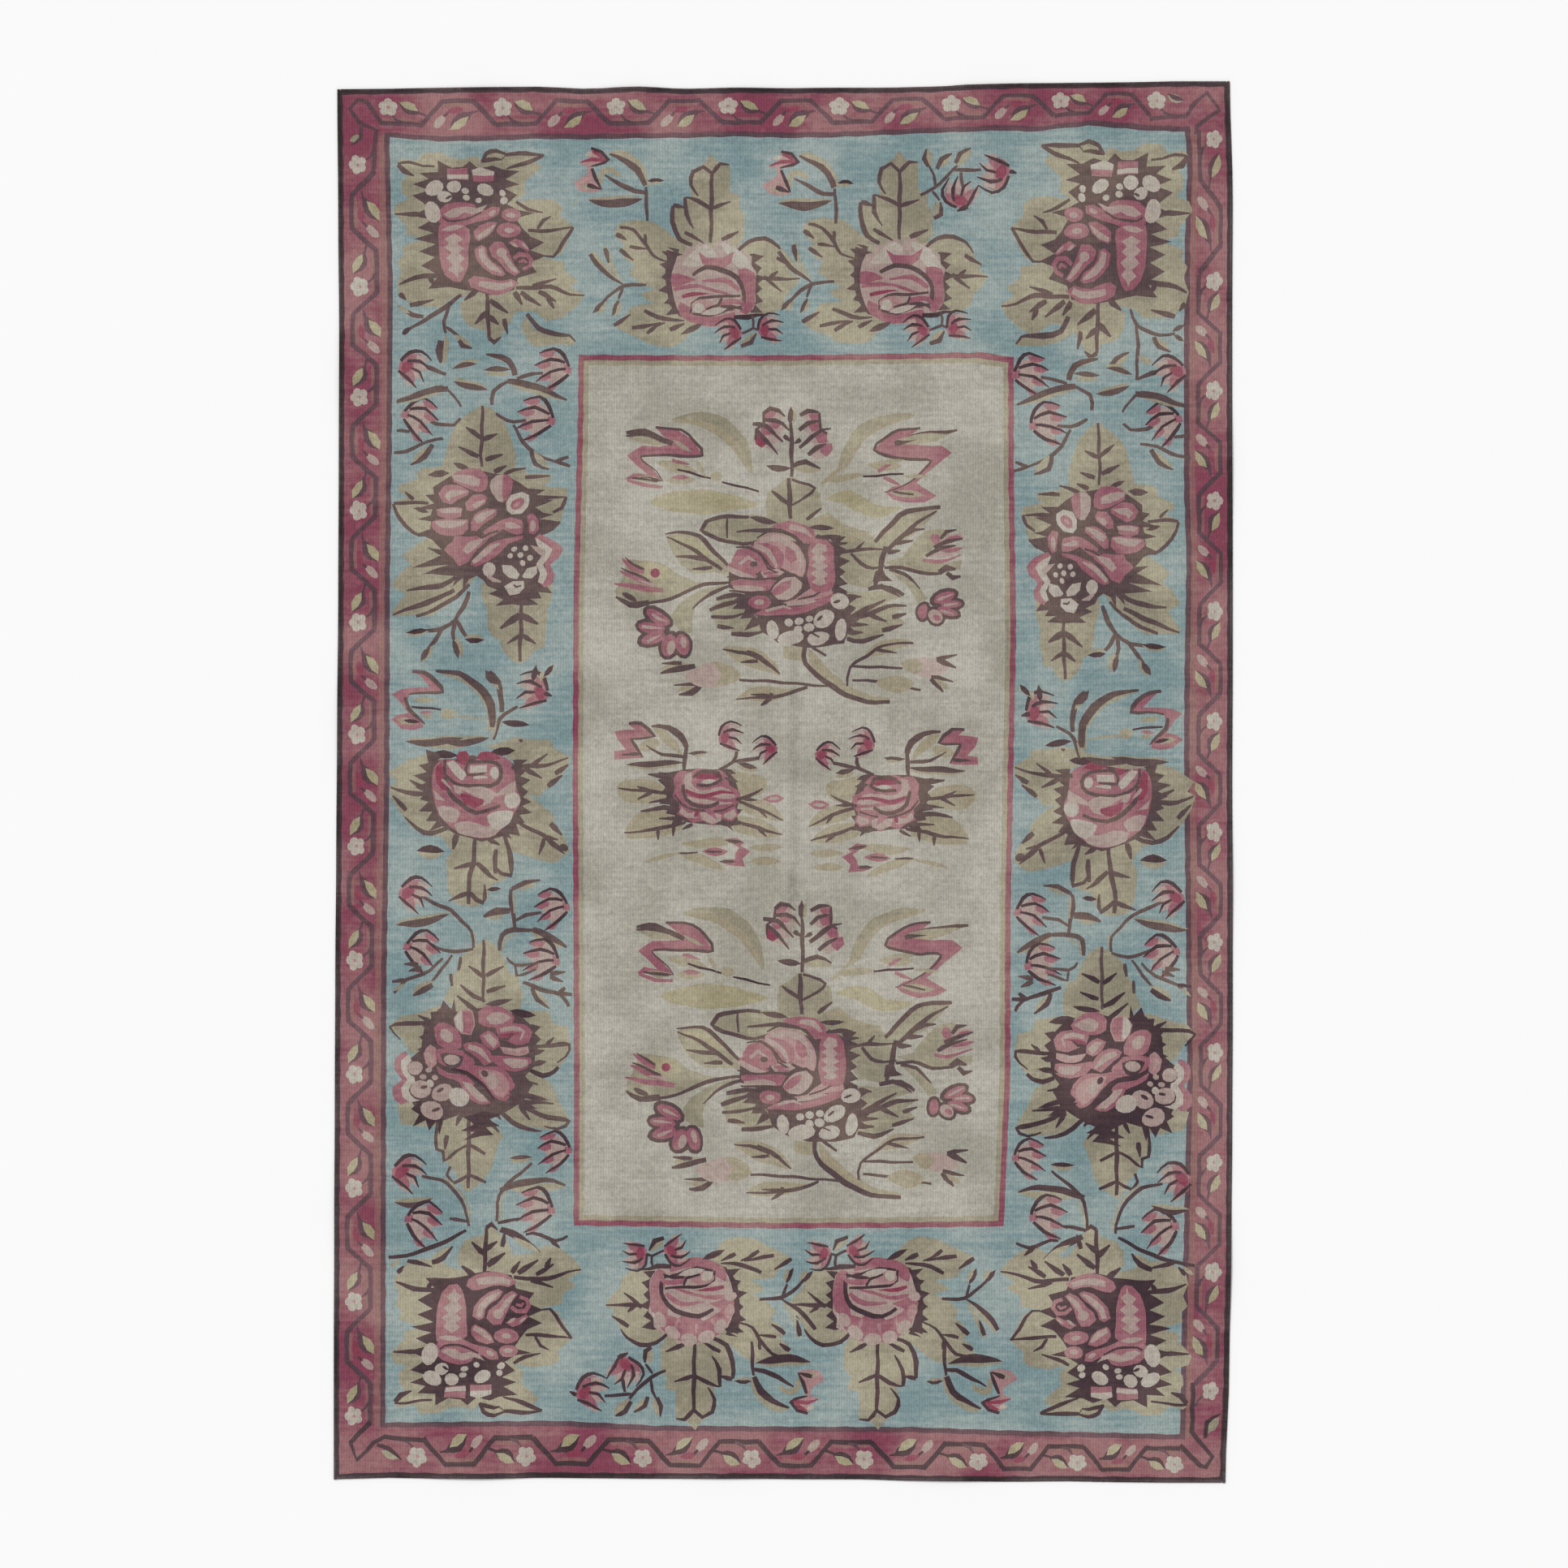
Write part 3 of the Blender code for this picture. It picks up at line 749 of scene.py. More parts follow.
# %% Upper side bouquet
UPPER_BOUQUET = """
area khaki : -60.7,76.2 -58.2,74.9 -56.5,73.1 -54.9,69.4 -53.9,66.1 -54.1,62 -68.8,62 -68.8,63.7
    -68,66.9 -67,70.2 -65.9,72.3 -63.5,74.5
area khaki : -56.5,62 -52.4,63.6 -51.7,62.3 -47,62 -46.9,60.7 -48.5,59.8 -43.6,59.2 -43.4,57.4
    -44.4,54.9 -44.8,52.7 -46.3,51.4 -48.3,50 -50,49.4 -60,50
area khaki : -73.9,62.3 -72.9,63.4 -68.8,63.8 -62,60 -66,50 -71.3,49.4 -73.3,49.6 -75.8,51.4 -78,54.3
    -78.9,56.3 -75.8,57.6 -77.8,58.8 -77.4,59.8 -73.6,61.3
area khaki : -71.3,49.5 -74.1,47.8 -76.8,45.8 -75,43.8 -77,42.4 -79,39.9 -78.6,39.1 -76.2,38 -79,34.4
    -78.6,33.3 -75,33.6 -71.3,33.3 -67.6,35.7 -65.9,37.4 -63.1,39.8 -62,41.8 -60,50
area khaki : -61,40 -60.8,37.5 -59.8,34.6 -59.6,31.3 -58.6,29.3 -57.2,28.6 -56.6,26.4 -54.6,24.4
    -53.2,23.9 -51.4,25 -50.2,26.6 -48.2,27.2 -47.7,31.3 -47.6,34.4 -46.6,37.5 -46.5,40 -50,46
area brown : -70.6,59.4 -67.4,61.6 -63,62.8 -60.3,62.6 -56.4,62 -53.4,60.6 -51.6,59.2 -47.9,59
    -50.8,57.3 -46.3,56.9 -50,55.5 -48.3,54.3 -46.3,53.9 -49.2,53 -45.1,52.6 -48.3,50.2 -49.6,49.4
    -47.5,45.7 -47.9,44 -48.7,40.8 -46.7,38 -49.4,38.4 -48.7,37.1 -51,37 -49.2,35.8 -52.4,35.6
    -54.9,35.8 -58,35.6 -56.5,36.9 -59.4,37.9 -57.8,38.7 -59.8,39.5 -60.6,40.8 -61.9,41.6 -63.5,40.8
    -64.7,38.3 -64.6,41.2 -66.8,39.3 -65.9,41.6 -72.9,42 -67.6,43.8 -75,43.2 -69.2,45.7 -72.1,47.3
    -68.8,46.9 -70.9,48.9 -73.7,50.2 -71.3,51 -71.1,52.6 -73.9,53 -71.1,53.9 -70.7,55.1 -74.3,54.9
    -70.5,56.3 -72.3,57.8 -70.5,58
line brown .8 : -60.7,76 -60.7,73 -61,66 -60.8,63.5
vein brown 1.1 : -61,69.4 -62.6,70.5 -64.1,71.7 / -60.6,69.2 -57.6,70.3 / -61.4,65.7 -65.5,67.6 /
    -60,64.9 -56.7,66.1 / -58.4,62.6 -55.7,63.9
leaf brown 1.2 : -66.6,64.3 -63.1,63.1
leaf brown 1.6 : -71.8,62 -67.3,62.3
vein brown .9 : -56.4,62 -54.2,62.9 -52,63.3 / -52,61.6 -47.1,61.7 / -50.8,57.5 -43.6,57.4
line brown .8 : -43.7,57.4 -44.7,55.3 -46.5,54.3 / -45,52.6 -46.6,51.2 -49.4,49.8
line brown .8 : -78.7,56.2 -75.8,56.4 -71.6,56.2 / -78.8,56.1 -78,54.2 -76,51.5 -73.3,49.8 -71.5,49.7
leaf brown 1 : -74.6,55.2 -71.4,54.5
vein brown .8 : -74.5,57 -76.3,58.6
line brown .9 : -63.3,39.9 -66,37.3 -70.4,34.8 -74,33.5
vein brown 1.1 : -66,41.4 -69,39.7 -76,38.7 / -66.4,38.6 -72,36.2 -78.9,33.7
line brown .9 : -52.9,35.8 -52.9,31 -53.1,27 -53.2,24.4
vein brown 1.4 : -53.1,33.8 -57.1,30.9 / -52.8,33.8 -49.4,31.8
vein brown 1 : -53,29.6 -55.6,28 / -52.9,29.6 -50,28
soft rose : -67,61.8 -64.1,63.3 -61.2,63.1 -59.7,61.7 -59.8,59.2 -61,58.6 -63.3,59 -66.6,60.7
soft pale : -66.9,61.9 -63.9,62 -61,61 -61.4,59.7 -63.2,59.8 -66.3,61
soft pale : -59,61 -56.6,62 -56.5,56.5 -57.6,56.6 -58.8,58.4
soft rose : -56.5,62.1 -54.5,60.6 -54.9,58.4 -56.4,56.6
soft rose : -69.6,58.2 -68.4,59.8 -65.9,60 -63.5,58.6 -63.7,57.8 -65.5,56.9 -67,55.9 -68.8,56.5
soft pale : -68.4,57.8 -67.2,59 -63.8,58.5 -65.5,57.7 -67,57.4 -67.4,56.6
soft rose : -64.1,56.3 -62.7,58 -60.6,58.2 -59.8,57.3 -60.2,56.1 -62.7,54.7 -63.9,54.9
vein pale 1.2 : -62.4,55.7 -60.3,56.8
soft white : -55.9,56.5 -54.9,58 -52.8,58.6 -51.4,57.8 -51.4,55.5 -52.8,54.1 -54.9,53.9 -55.9,54.9
oval rose 1.6 1.1 35 : -53.6,56.1
oval pink .8 .4 35 : -53.7,56
soft rose : -70,55.1 -64.7,55.3 -65.1,53.7 -67.6,53 -69.6,53.7
soft pale : -69.8,55 -64.8,55.2 -65.2,54.4 -68.8,54.2
soft rose : -63.1,52.2 -62.3,53.9 -59.8,55.1 -57.8,55.1 -57.8,53.9 -60.6,52 -61.9,50.6 -62.9,50.6
vein pale 1.6 : -62.2,52.6 -60,53.9 -58.2,54.8
soft rose : -70.9,52.6 -63.7,53 -63.5,51 -64.7,49.8 -68,49.8 -70.2,50.4
soft pale : -70.6,52.4 -64,52.8 -64.6,51.8 -68.8,51.2
soft rose : -60.6,50.6 -57.3,52.6 -54.9,53.3 -52.8,52.8 -52.6,50.2 -54.9,50.2 -56.5,51 -58.2,49.8
    -59.8,49
vein pale 1.3 : -56,51.8 -52.9,51.5
soft rose : -51.6,53.9 -50.4,54.3 -49.4,53 -49.4,51 -50.2,49.8 -51.2,50.2
oval pale .6 1.3 : -50.6,51.7
soft rose : -68.4,46.9 -66.8,48.5 -66.4,49.6 -63.9,49.4 -61.4,49.8 -59,49.8 -59.8,48.5 -61.9,46.9
    -63.5,44.4 -65.5,43.6 -66.8,45.3
soft pale : -64.7,46.9 -63.1,48.7 -61.4,49 -59.9,49.4 -61.9,47.5 -63.9,46.1
line brown .6 : -61.9,50 -60.6,49.4 -59.4,50.2 -57.5,50.6
soft rose : -63.1,43.8 -61.4,46.1 -59,48.1 -56.5,49 -52.4,49.8 -52.4,49.2 -55.7,48.1 -56.9,46.5
    -59.8,44.4 -61.9,43.4
vein pale 1.2 : -62.5,44.2 -59.8,46.6 -57.2,48.1
soft rose : -49.2,50 -46.3,48.7 -44.4,46.9 -45.1,45.3 -47.1,43.8 -46.1,42 -46.3,40.4 -48.3,39.3 -49,40
    -47.6,42 -48.3,44 -47,46 -48,47.6 -50,49.2
soft white : -50,49.3 -48.3,48.4 -46.5,46.9 -47.3,45.3 -48.5,43.8 -47.5,42 -48.7,39.9 -49.6,40.3 -49,42
    -49.8,44 -48.6,46.2 -49.6,48
oval white .6 .6 : -54.3,47 -52.1,47.1 -55,45.6 -53,45.7 -51.1,45.3 -52.5,44.2
soft pale : -51,47.7 -49.2,47.5 -47.9,46.5 -48.3,45.3 -49.4,46.1
oval white 1.3 1.5 : -59.3,42.9
vein pale .9 : -59.6,41.6 -58.4,40.7 -56.9,40.3
soft white : -56.9,43.8 -54.9,43.6 -53.3,42 -53.7,41 -55.3,41.2 -56.5,42.2
soft white : -52.8,41.6 -51.6,43.2 -49.6,43.6 -49.6,42 -50.8,41 -52.4,41.2
soft white : -56.3,39.5 -54.5,40.6 -52.4,40.6 -52.2,39.1 -53.3,37.9 -55.3,37.7
line brown .5 : -54.3,39.9 -53.8,39.4 -52.8,39.6
"""

# %% Lower side bouquet
SIDE_BOUQUET = """
area khaki : -60,-31.6 -62.5,-33.3 -64.8,-35 -65.5,-37.5 -66.7,-39 -67.5,-42 -68.5,-44 -66,-45.5
    -62,-47 -57,-47 -53,-45.8 -52.5,-43 -53.4,-39 -55.3,-38.5 -56.5,-35 -58,-33
area khaki : -79.3,-49.4 -77.5,-47.5 -73,-46.4 -70,-45.2 -66,-45.4 -60,-48 -52,-46 -47.3,-46.4
    -46.3,-48.8 -43.5,-49.5 -43,-53 -44,-56 -46,-58.5 -50,-59 -47,-60.5 -45.5,-64 -43,-68.5 -47,-70.2
    -52,-69.5 -56,-67.4 -60,-67 -57.5,-70 -56.5,-71.5 -57.5,-73 -59,-78.5 -61,-81 -64,-83 -66,-79
    -68,-76.5 -69.8,-73 -70,-69.3 -72,-69.6 -77,-69 -78,-65.4 -76,-64 -72,-55.5 -75.5,-54.5 -77,-51.5
area brown : -69.5,-45.8 -65,-46.4 -60,-45.5 -53,-47 -50.5,-49.5 -49.8,-53 -50.3,-57.5 -52,-59.5
    -50.6,-61 -52.2,-64.2 -55,-66 -58,-67.8 -61,-66.8 -63,-68.5 -65.5,-67.3 -69.8,-68.6 -73.5,-67
    -75.3,-64 -75.5,-60 -75.8,-56.3 -73,-54 -72.6,-50
teeth brown 2.6 2.2 : -71.3,-54.5 -71.5,-50.5 -69.3,-46.6 -66,-46.2
teeth brown 1.9 2.2 : -50.8,-49 -50.3,-53 -51.5,-57
teeth dark 3 1.7 : -68.7,-68.2 -72.8,-67.7 -73.5,-64
soft pink : -66.6,-47.6 -64.6,-45.7 -62.7,-46.2 -62.2,-49 -63,-51 -64.9,-50.9 -66.2,-49.5
soft white : -66.4,-47.7 -64.8,-46 -64.7,-50.7 -66,-49.5
soft rose : -64.6,-46 -62.9,-46.3 -62.5,-49 -63.2,-50.8 -64.5,-50.6
soft rose : -61.6,-46.6 -59.5,-44.9 -56.5,-45.5 -54.2,-47.6 -56,-49.3 -59,-49.6 -61.3,-48.6
soft pale : -60,-47.4 -57.8,-46.3 -54.8,-47.6 -56.5,-48.8 -59,-48.9
soft rose : -70.4,-49.5 -68.3,-48.5 -66,-49.8 -64.8,-52 -65,-53.5 -67.2,-54 -69.8,-52.9
oval pale 1.65 1.21 -50 : -67.9,-51.2
soft rose : -58,-49.8 -55.5,-48.7 -52.3,-48.9 -50.7,-50.6 -51.3,-52.6 -53.8,-53.2 -55.2,-52.5
    -57.4,-51.4
vein pale 1 : -57,-50.2 -54.6,-49.6 -52.4,-50.4 -53,-52.2
vein crimson .8 : -57.3,-51.3 -55,-50.9 -53.4,-50.6
vein brown .65 : -57.8,-51.8 -55.6,-51.8 -54.3,-50.8
soft rose : -61.4,-51.1 -59.6,-50.2 -57.5,-51.6 -57.2,-53.2 -58.6,-54.1 -60.6,-52.9
soft pale : -60.7,-51.2 -59.2,-50.9 -57.7,-52.3 -58.4,-53.7
soft pink : -57.3,-53.3 -54.2,-53.9 -51.4,-53.3 -51.2,-54.5 -53.5,-55.3 -56.4,-54.8
soft pale : -56.8,-53.8 -53.5,-54 -51.6,-53.6 -53.5,-54.6
soft rose : -59,-55.2 -55,-55.5 -51,-55.6 -50.8,-57.3 -54,-58.4 -57.3,-57.6
soft pale : -56.5,-56 -51.7,-56 -51.5,-57.2 -54.5,-57.7
soft rose : -64.6,-53 -62,-52.4 -59.2,-54.2 -58.6,-56.5 -60.5,-57.2 -63,-55.4
vein pale 1.3 : -63.5,-53.3 -61,-54.4 -59.2,-56.4
soft pink : -72.6,-54.8 -71.2,-52.9 -70.1,-53.6 -70,-57 -71.2,-58 -72.2,-56.8
vein pale .9 : -71.7,-54.5 -71,-56.8
soft rose : -70,-54 -66.5,-54 -63.7,-54.5 -62.3,-56.8 -63.6,-58.4 -66.7,-57.6 -69.5,-56.7
soft brown : -69.2,-55 -66.4,-54.8 -64.6,-55.4 -65.3,-57.6 -67.7,-57.5
oval pale 1.65 1.04 : -66.8,-56
soft rose : -70.2,-57.3 -67.5,-58.7 -64,-59.3 -62.2,-61 -63,-61.5 -66.5,-60.2 -69.5,-58.8
soft rose : -63.8,-57.2 -60.5,-57.4 -57,-57.6 -54.8,-59.8 -54.2,-62.3 -56,-64.4 -58.4,-63.5 -60.5,-61
    -63.2,-59.4
soft pink : -61.5,-58 -58.5,-58.2 -56,-59.5 -55.2,-62 -56.5,-63.8 -58.5,-62.7 -60.4,-60.4
soft pale : -60.3,-58.8 -58.5,-58.8 -57.2,-60.5 -58.5,-62.2 -60,-60.4
oval brown .6 .9 40 : -60.2,-58.8
soft rose : -65.6,-60 -63.5,-60 -60.3,-63.2 -59,-64.7 -61.5,-65 -63.7,-63.4
soft pale : -64.9,-60.4 -63,-60.8 -59.6,-64.5 -61.3,-64.5 -63.3,-62.6
vein dark .78 : -67,-57.9 -63.7,-58.8 -61,-60.7 -58.5,-63.8
vein brown .78 : -62.5,-61 -60.5,-63 -59.5,-64 / -64.5,-54.2 -62,-56 -60.5,-57.3
soft rose : -76.2,-54.4 -78.2,-55.8 -78.4,-58.3 -77,-60 -78.7,-61.5 -78.6,-64 -77.2,-65.2 -75.2,-63.8
    -74.9,-60 -75.2,-56.3
soft white : -75.6,-55 -77,-56.3 -76.9,-58.6 -75.9,-60 -77,-61.6 -76.8,-63.6 -75.3,-64.7 -73.2,-64.2
    -74.4,-60.5 -74.6,-57
oval brown 1.9 1.8 : -73.9,-57.8
oval pale 1.54 1.43 : -74.2,-57.7
oval brown 2.5 2 : -73,-62.2
oval pale 2.09 1.76 : -73.2,-62
oval brown .8 .35 15 : -72.6,-61.6
oval pale 0.77 0.55 : -72.6,-59.6
oval pale 0.66 0.55 : -71.5,-58.2 -70.2,-59.6
oval white 0.77 0.77 : -71.2,-60.8
oval pale 2.31 1.76 20 : -68.8,-62.7
oval brown .9 .4 25 : -69.2,-62.2
oval white 2.20 1.87 -20 : -65.4,-63.6
oval pale 2.42 1.87 -20 : -70.9,-66.3
oval brown 1 .35 20 : -70,-66.2
line brown .78 : -60.4,-31.8 -60.5,-38 -60.5,-44.6
vein brown 1.03 : -60.7,-39.2 -63.6,-37.1 / -60,-39 -56.4,-37.2 / -60.7,-44 -62.6,-43.1 -65.1,-41 /
    -59.8,-42.4 -56,-41.1 / -61.8,-46.3 -65.9,-43.2
leaf brown 1.2 : -60.3,-45 -54.6,-43.9
line brown .78 : -65,-35.2 -65.6,-38 / -67,-38.6 -66.9,-41.2
vein brown .91 : -70,-48.7 -76,-48.7 -79.3,-49.5 -77.2,-51.9 / -71,-48.5 -73.6,-47
vein brown .91 : -50.3,-53.3 -47,-53.3 -43.1,-52.9 -43.9,-55.3 -45.6,-56.6 / -47.9,-53 -46.2,-51.6
leaf brown 1.2 : -47.4,-64.4 -54.7,-62.4
leaf brown 1.1 : -49.5,-66.2 -55.7,-63.1
leaf brown 1.3 : -47.9,-54.2 -51.8,-54.9 / -47.6,-56.4 -51.8,-57.3
line dark 1.03 : -51,-58.3 -48.5,-59.2 -46.3,-58.4 -45.3,-57.5
leaf dark 1.6 : -55.2,-46.2 -49.8,-47.2
vein brown 1.03 : -54.6,-60.2 -49.4,-60.9 / -55,-63 -53,-61.6 -50.6,-61.2 / -54,-64.4 -46.4,-64.9
vein brown 1.04 : -53.3,-64.9 -49,-67.2 -43.2,-68.5 -45.5,-70.1 -48.3,-69.4 / -57,-66.6 -53,-69.6
    -48.8,-70.4 / -53.2,-65.3 -51.2,-68.3
line brown .91 : -63.4,-67.2 -63.5,-75 -63.5,-82
line brown .78 : -69.9,-68.7 -70,-74.2 -68.7,-74.6 -68.5,-76.4 -66,-74.5 -63.5,-73.2 / -63.3,-73.3
    -60.2,-75 / -63.5,-79.2 -66.6,-81 -67.8,-79.4 -67.2,-77.6 / -63.3,-79.2 -60,-80.9
vein brown 1.04 : -67.8,-71.4 -68.3,-74.2 / -60.5,-67.6 -57.4,-70.6 / -65,-67.3 -66,-69.5 / -58.4,-66.3
    -56.9,-68.2
area dark : -60.4,-66.4 -64.4,-67.6 -62.4,-69 -65.2,-70.4 -62.2,-70.6 -64.6,-72.2 -61,-71.6 -58.4,-71.2
    -60,-69.8 -57.2,-69.4 -59.4,-68.2 -56.8,-67.2
"""

# %% Side rose, with the tulip above it
SIDE_ROSE = """
area khaki : -79.5,2 -76,4.3 -73,5.5 -69,5 -69,-1 -72,-2 -69,-8 -65,-9 -58,-10 -55,-8 -53,-1 -54,4
    -58,6.5 -60,7.3 -57,8 -54,9 -50,8.6 -47,8.5 -46,6.8 -43,5 -43.5,3 -45,1 -48,-1.5 -49,-3 -52,-2.6
    -50,-3.5 -46.5,-6.5 -46,-9 -44,-11 -43,-14 -46,-16.5 -50,-15.5 -54.8,-14 -54.7,-18 -56.5,-20
    -58.5,-20.5 -60,-24 -62,-25.2 -66,-24.7 -67.5,-22 -68,-16 -67,-14 -69,-11 -71,-10.9 -75,-9.3
    -77,-6.5 -79,-3.5 -79.6,-1 -78,0
leaf dark 1.6 .4 : -71.5,5.2 -65.4,5.3
area brown : -70.8,4.3 -66,4.6 -62.6,5.4 -60,4.4 -56,4.6 -53.5,3 -52.8,-3 -53.8,-7.5 -56.5,-11 -61,-12
    -66,-10.5 -69.7,-8.5 -71.3,-4 -71.8,1
teeth brown 3 2 : -68.8,-9 -71,-5 -71.8,-1 -71.2,3.6 -69.5,5.4
teeth brown 2.5 2 : -54,4.6 -53.4,1 -52.8,-3 -53.7,-7.5 -56,-11
leaf dark 1.8 : -59.6,5.7 -54,6.4
soft rose : -70.4,3 -69.3,4.4 -67,4.8 -65.4,3.8 -63,4 -61.6,4.8 -59.5,5.6 -57.3,5.3 -55,4.2 -54.3,2
    -53.8,-1 -53,-3.5 -54,-6 -55.5,-8 -58,-10.6 -61,-11.4 -64,-10.8 -67,-9.2 -69.6,-6.5 -70.4,-3.5 -71,0
soft crimson : -69.9,3.4 -68.9,4 -68.4,1 -67.3,-1.9 -69,-1.6 -70.1,0 / -66,5 -65.4,6.1 -64,6.2
    -63.2,5.2 -64.3,3.2 -65.2,3.6 / -62,4.9 -61.2,6 -59.6,6.3 -58,5.6 -57,4.6 -59,4.3
soft pale : -69.8,-5 -67,-5 -65,-6.4 -66.2,-8.2 -68.4,-8 / -66.6,-8.6 -63.4,-7.8 -60,-9 -57,-8.2
    -58,-10.6 -62,-11.2 -65.6,-10.2 / -70.6,-1.6 -69,-3 -68,-3.8 -70,-3.6
soft white : -59.8,-6.9 -57.6,-5.9 -54.4,-5.8 -55.3,-8.2 -57.4,-9.6 -58.7,-9.2
oval white 1.6 1.7 : -54.7,-3.6
soft pale : -57.6,-2 -55,-.3 -53.9,.1 -54,-2 -56.5,-2.6 -58.5,-3
soft white : -68,4 -66.7,4.4 -65,2.6 -63.9,1.6 -64.7,.4 -66.6,1.8
line brown .78 : -68.3,4.6 -68.2,1.6 -66,-.3 -63,-.8 -59,-.7 -57,.8 -57.2,3.1 -59.5,4.1 -63.6,3.8
    -63.8,1.5 -60.2,1.7
area white : -63.2,3.3 -59.7,3.4 -59.8,1.9 -63.4,1.9
oval white .9 1.2 : -58.2,1.8
vein white .7 : -62.6,.9 -59.6,.9
soft pale : -66.6,-.5 -63.5,-1.2 -60.5,-1 -57.8,-2.4 -59,-4.2 -62,-4.8 -64,-3.2 -66.3,-2
soft rose : -65,-1.6 -62.4,-2.9 -60,-3.8 -61.5,-4.7 -64,-3.6
soft crimson : -65.3,-2.2 -63,-3 -60.4,-3.4 -60.6,-4.4 -62.4,-5.3 -64.4,-4.4
line brown .91 : -68.1,1 -67.5,-2 -65,-4.5 -62,-6.2 -59,-5.5 -57,-4.9
vein pale .7 : -68.9,.5 -67,-1.5
vein brown .91 : -55,3 -51,3.2 -48,3.4 -43.3,4.8 / -51,3 -47.6,5.7 / -53,8.6 -53,8
vein brown 1.15 : -52.3,2.7 -48.7,.8 / -46,1.6 -43.4,3.4 / -47.6,-1 -44.6,1.3 / -47,-8.5 -44.6,-10.6
vein brown .91 : -53.3,-8.4 -48,-11 -44.6,-13.6 / -48.5,-11 -45.3,-11.6 / -48.3,-11.5 -49.2,-14.6 /
    -48,-11.3 -44.2,-14.6
oval brown 1 .8 -30 : -44.3,-13.3
vein brown 1.04 : -71.5,-2.3 -76,-2.2 -79.3,-1 / -71.8,-1.6 -75.3,.3 / -76,-5.6 -78.8,-2.8 / -67.6,-9.3
    -71,-10.4 -74,-9.4 -76.4,-7
line brown 1.04 : -62.2,-11.6 -62.5,-16 -63.4,-20 -63.4,-24.6
vein brown 1.04 : -62.5,-16.3 -66.4,-17.5 / -62,-16.3 -59,-19 -57.6,-19.8 / -59.6,-11.4 -57.3,-12.8 /
    -63.4,-22.4 -67.6,-24 / -63.2,-22.4 -60.6,-24.4 -60.2,-20.6
line brown 1.04 : -56.4,-10 -55.6,-13 -54.9,-16 -55,-19 -57,-18.4 -58.2,-17.2 / -58,-13.7 -58.2,-18.4
vein brown 1.38 : -65.8,-10.6 -66.7,-13.6
leaf khaki 1.6 -.4 : -74,-14.4 -68.4,-14.4
leaf dark 1.6 .4 : -74.1,-13.9 -68.3,-14
leaf dark 1 : -59.9,-21.7 -56.8,-21.6
"""
SIDE_TULIP = """
soft khaki : -59.6,10 -59.7,14 -61.5,17.3 -64.5,20 -70,22.3 -66,22.3 -61.5,20 -58.4,16 -57.8,11
vein brown 1.72 : -58.6,11 -59,15.5 -61.3,19 -65.3,21.8 -70.2,22.4
line brown .78 : -58.4,8.6 -57.6,11.6 -56.3,13.6 -53.5,15.3
line khaki .5 : -58.8,8.8 -57.8,12
vein brown 1.15 : -56.8,14 -57,17.5 -57.5,20.3 -59.3,22.4
leaf khaki 1.2 : -60,22.3 -57.2,18.6
leaf brown 1.8 -.3 : -60.2,22.6 -57.3,19.6
leaf dark 1.5 : -56.8,12.2 -51.2,11.4
leaf khaki 2.6 .9 : -59.4,9 -76,8.6
leaf brown 1.5 .5 : -59.2,8.9 -68.5,8
leaf brown 1.6 .6 : -64.5,9 -76.4,8.1
bud 1 165 : -47.9,17
vein dark 1.04 : -48.2,17.8 -46.6,17.3
leaf dark 1.2 : -50.5,20 -49.9,23.6
leaf khaki .9 : -49,20.3 -48.6,22.6
leaf khaki 1.2 : -48.6,21 -46,23.8
leaf dark 1.1 : -48.5,21.2 -46.2,23.8
area rose : -74.6,22.5 -72.6,22.4 -70,20.5 -68.6,18.2 -72,18 -75.3,17.8 -76,15.8 -75,14 -73,12.2
    -72.6,11 -74.3,10.4 -77,10.8 -79,12.5 -78,13.4 -75.8,14 -77.6,16.4 -79,17.8 -77,18.8 -71.2,19.1
    -73,21.2
vein brown .91 : -74.8,22.4 -72.4,22 -70,20.3 -68.6,18.1 -72,18.1 -75.5,17.6 / -76.2,17 -75.6,14.8
    -74,13.2 -72.4,11.6
leaf khaki 1.4 : -78,12.6 -73.6,12
leaf dark .9 : -76.6,12.6 -73.3,12
leaf khaki 1.2 : -74.8,16.7 -70,16.5
line dark .52 : -75,15.2 -69,14.6
leaf rose .8 : -73.6,14 -70.6,14
leaf khaki 1 : -73,13.3 -70.5,13
oval khaki 1.5 1.1 : -67.6,13.8
line khaki .5 : -66.5,13.4 -60,12.6
"""

# %% Branches with buds
SPRIG = """
line brown 1.04 : -63.3,38.5 -64.5,35.5 -66.2,32.8
line brown .91 : -66.2,32.8 -69,30.9 -72.4,30.4 / -68.6,31.2 -70.2,28.8 -71.6,27 / -66.3,32.8 -66.6,30
    -66.4,28.6 / -66,32.8 -64.8,30.4 -64,29.4
leaf khaki 1.4 : -71.5,30.4 -76.2,29.8
leaf dark 1.2 : -71.5,30.6 -76.2,30.2
leaf khaki 1.5 : -70.6,27.8 -72.8,24.3
leaf brown 1.3 : -71.2,27.4 -73.3,24.4
leaf khaki 1.6 : -65.8,29.4 -64.8,24.9
leaf brown 1.3 : -66.6,29 -65.6,24.9
leaf khaki 1.5 : -64.2,29.4 -60.4,29
leaf dark 1.2 -.2 : -64.3,28.9 -60.3,28.6
"""
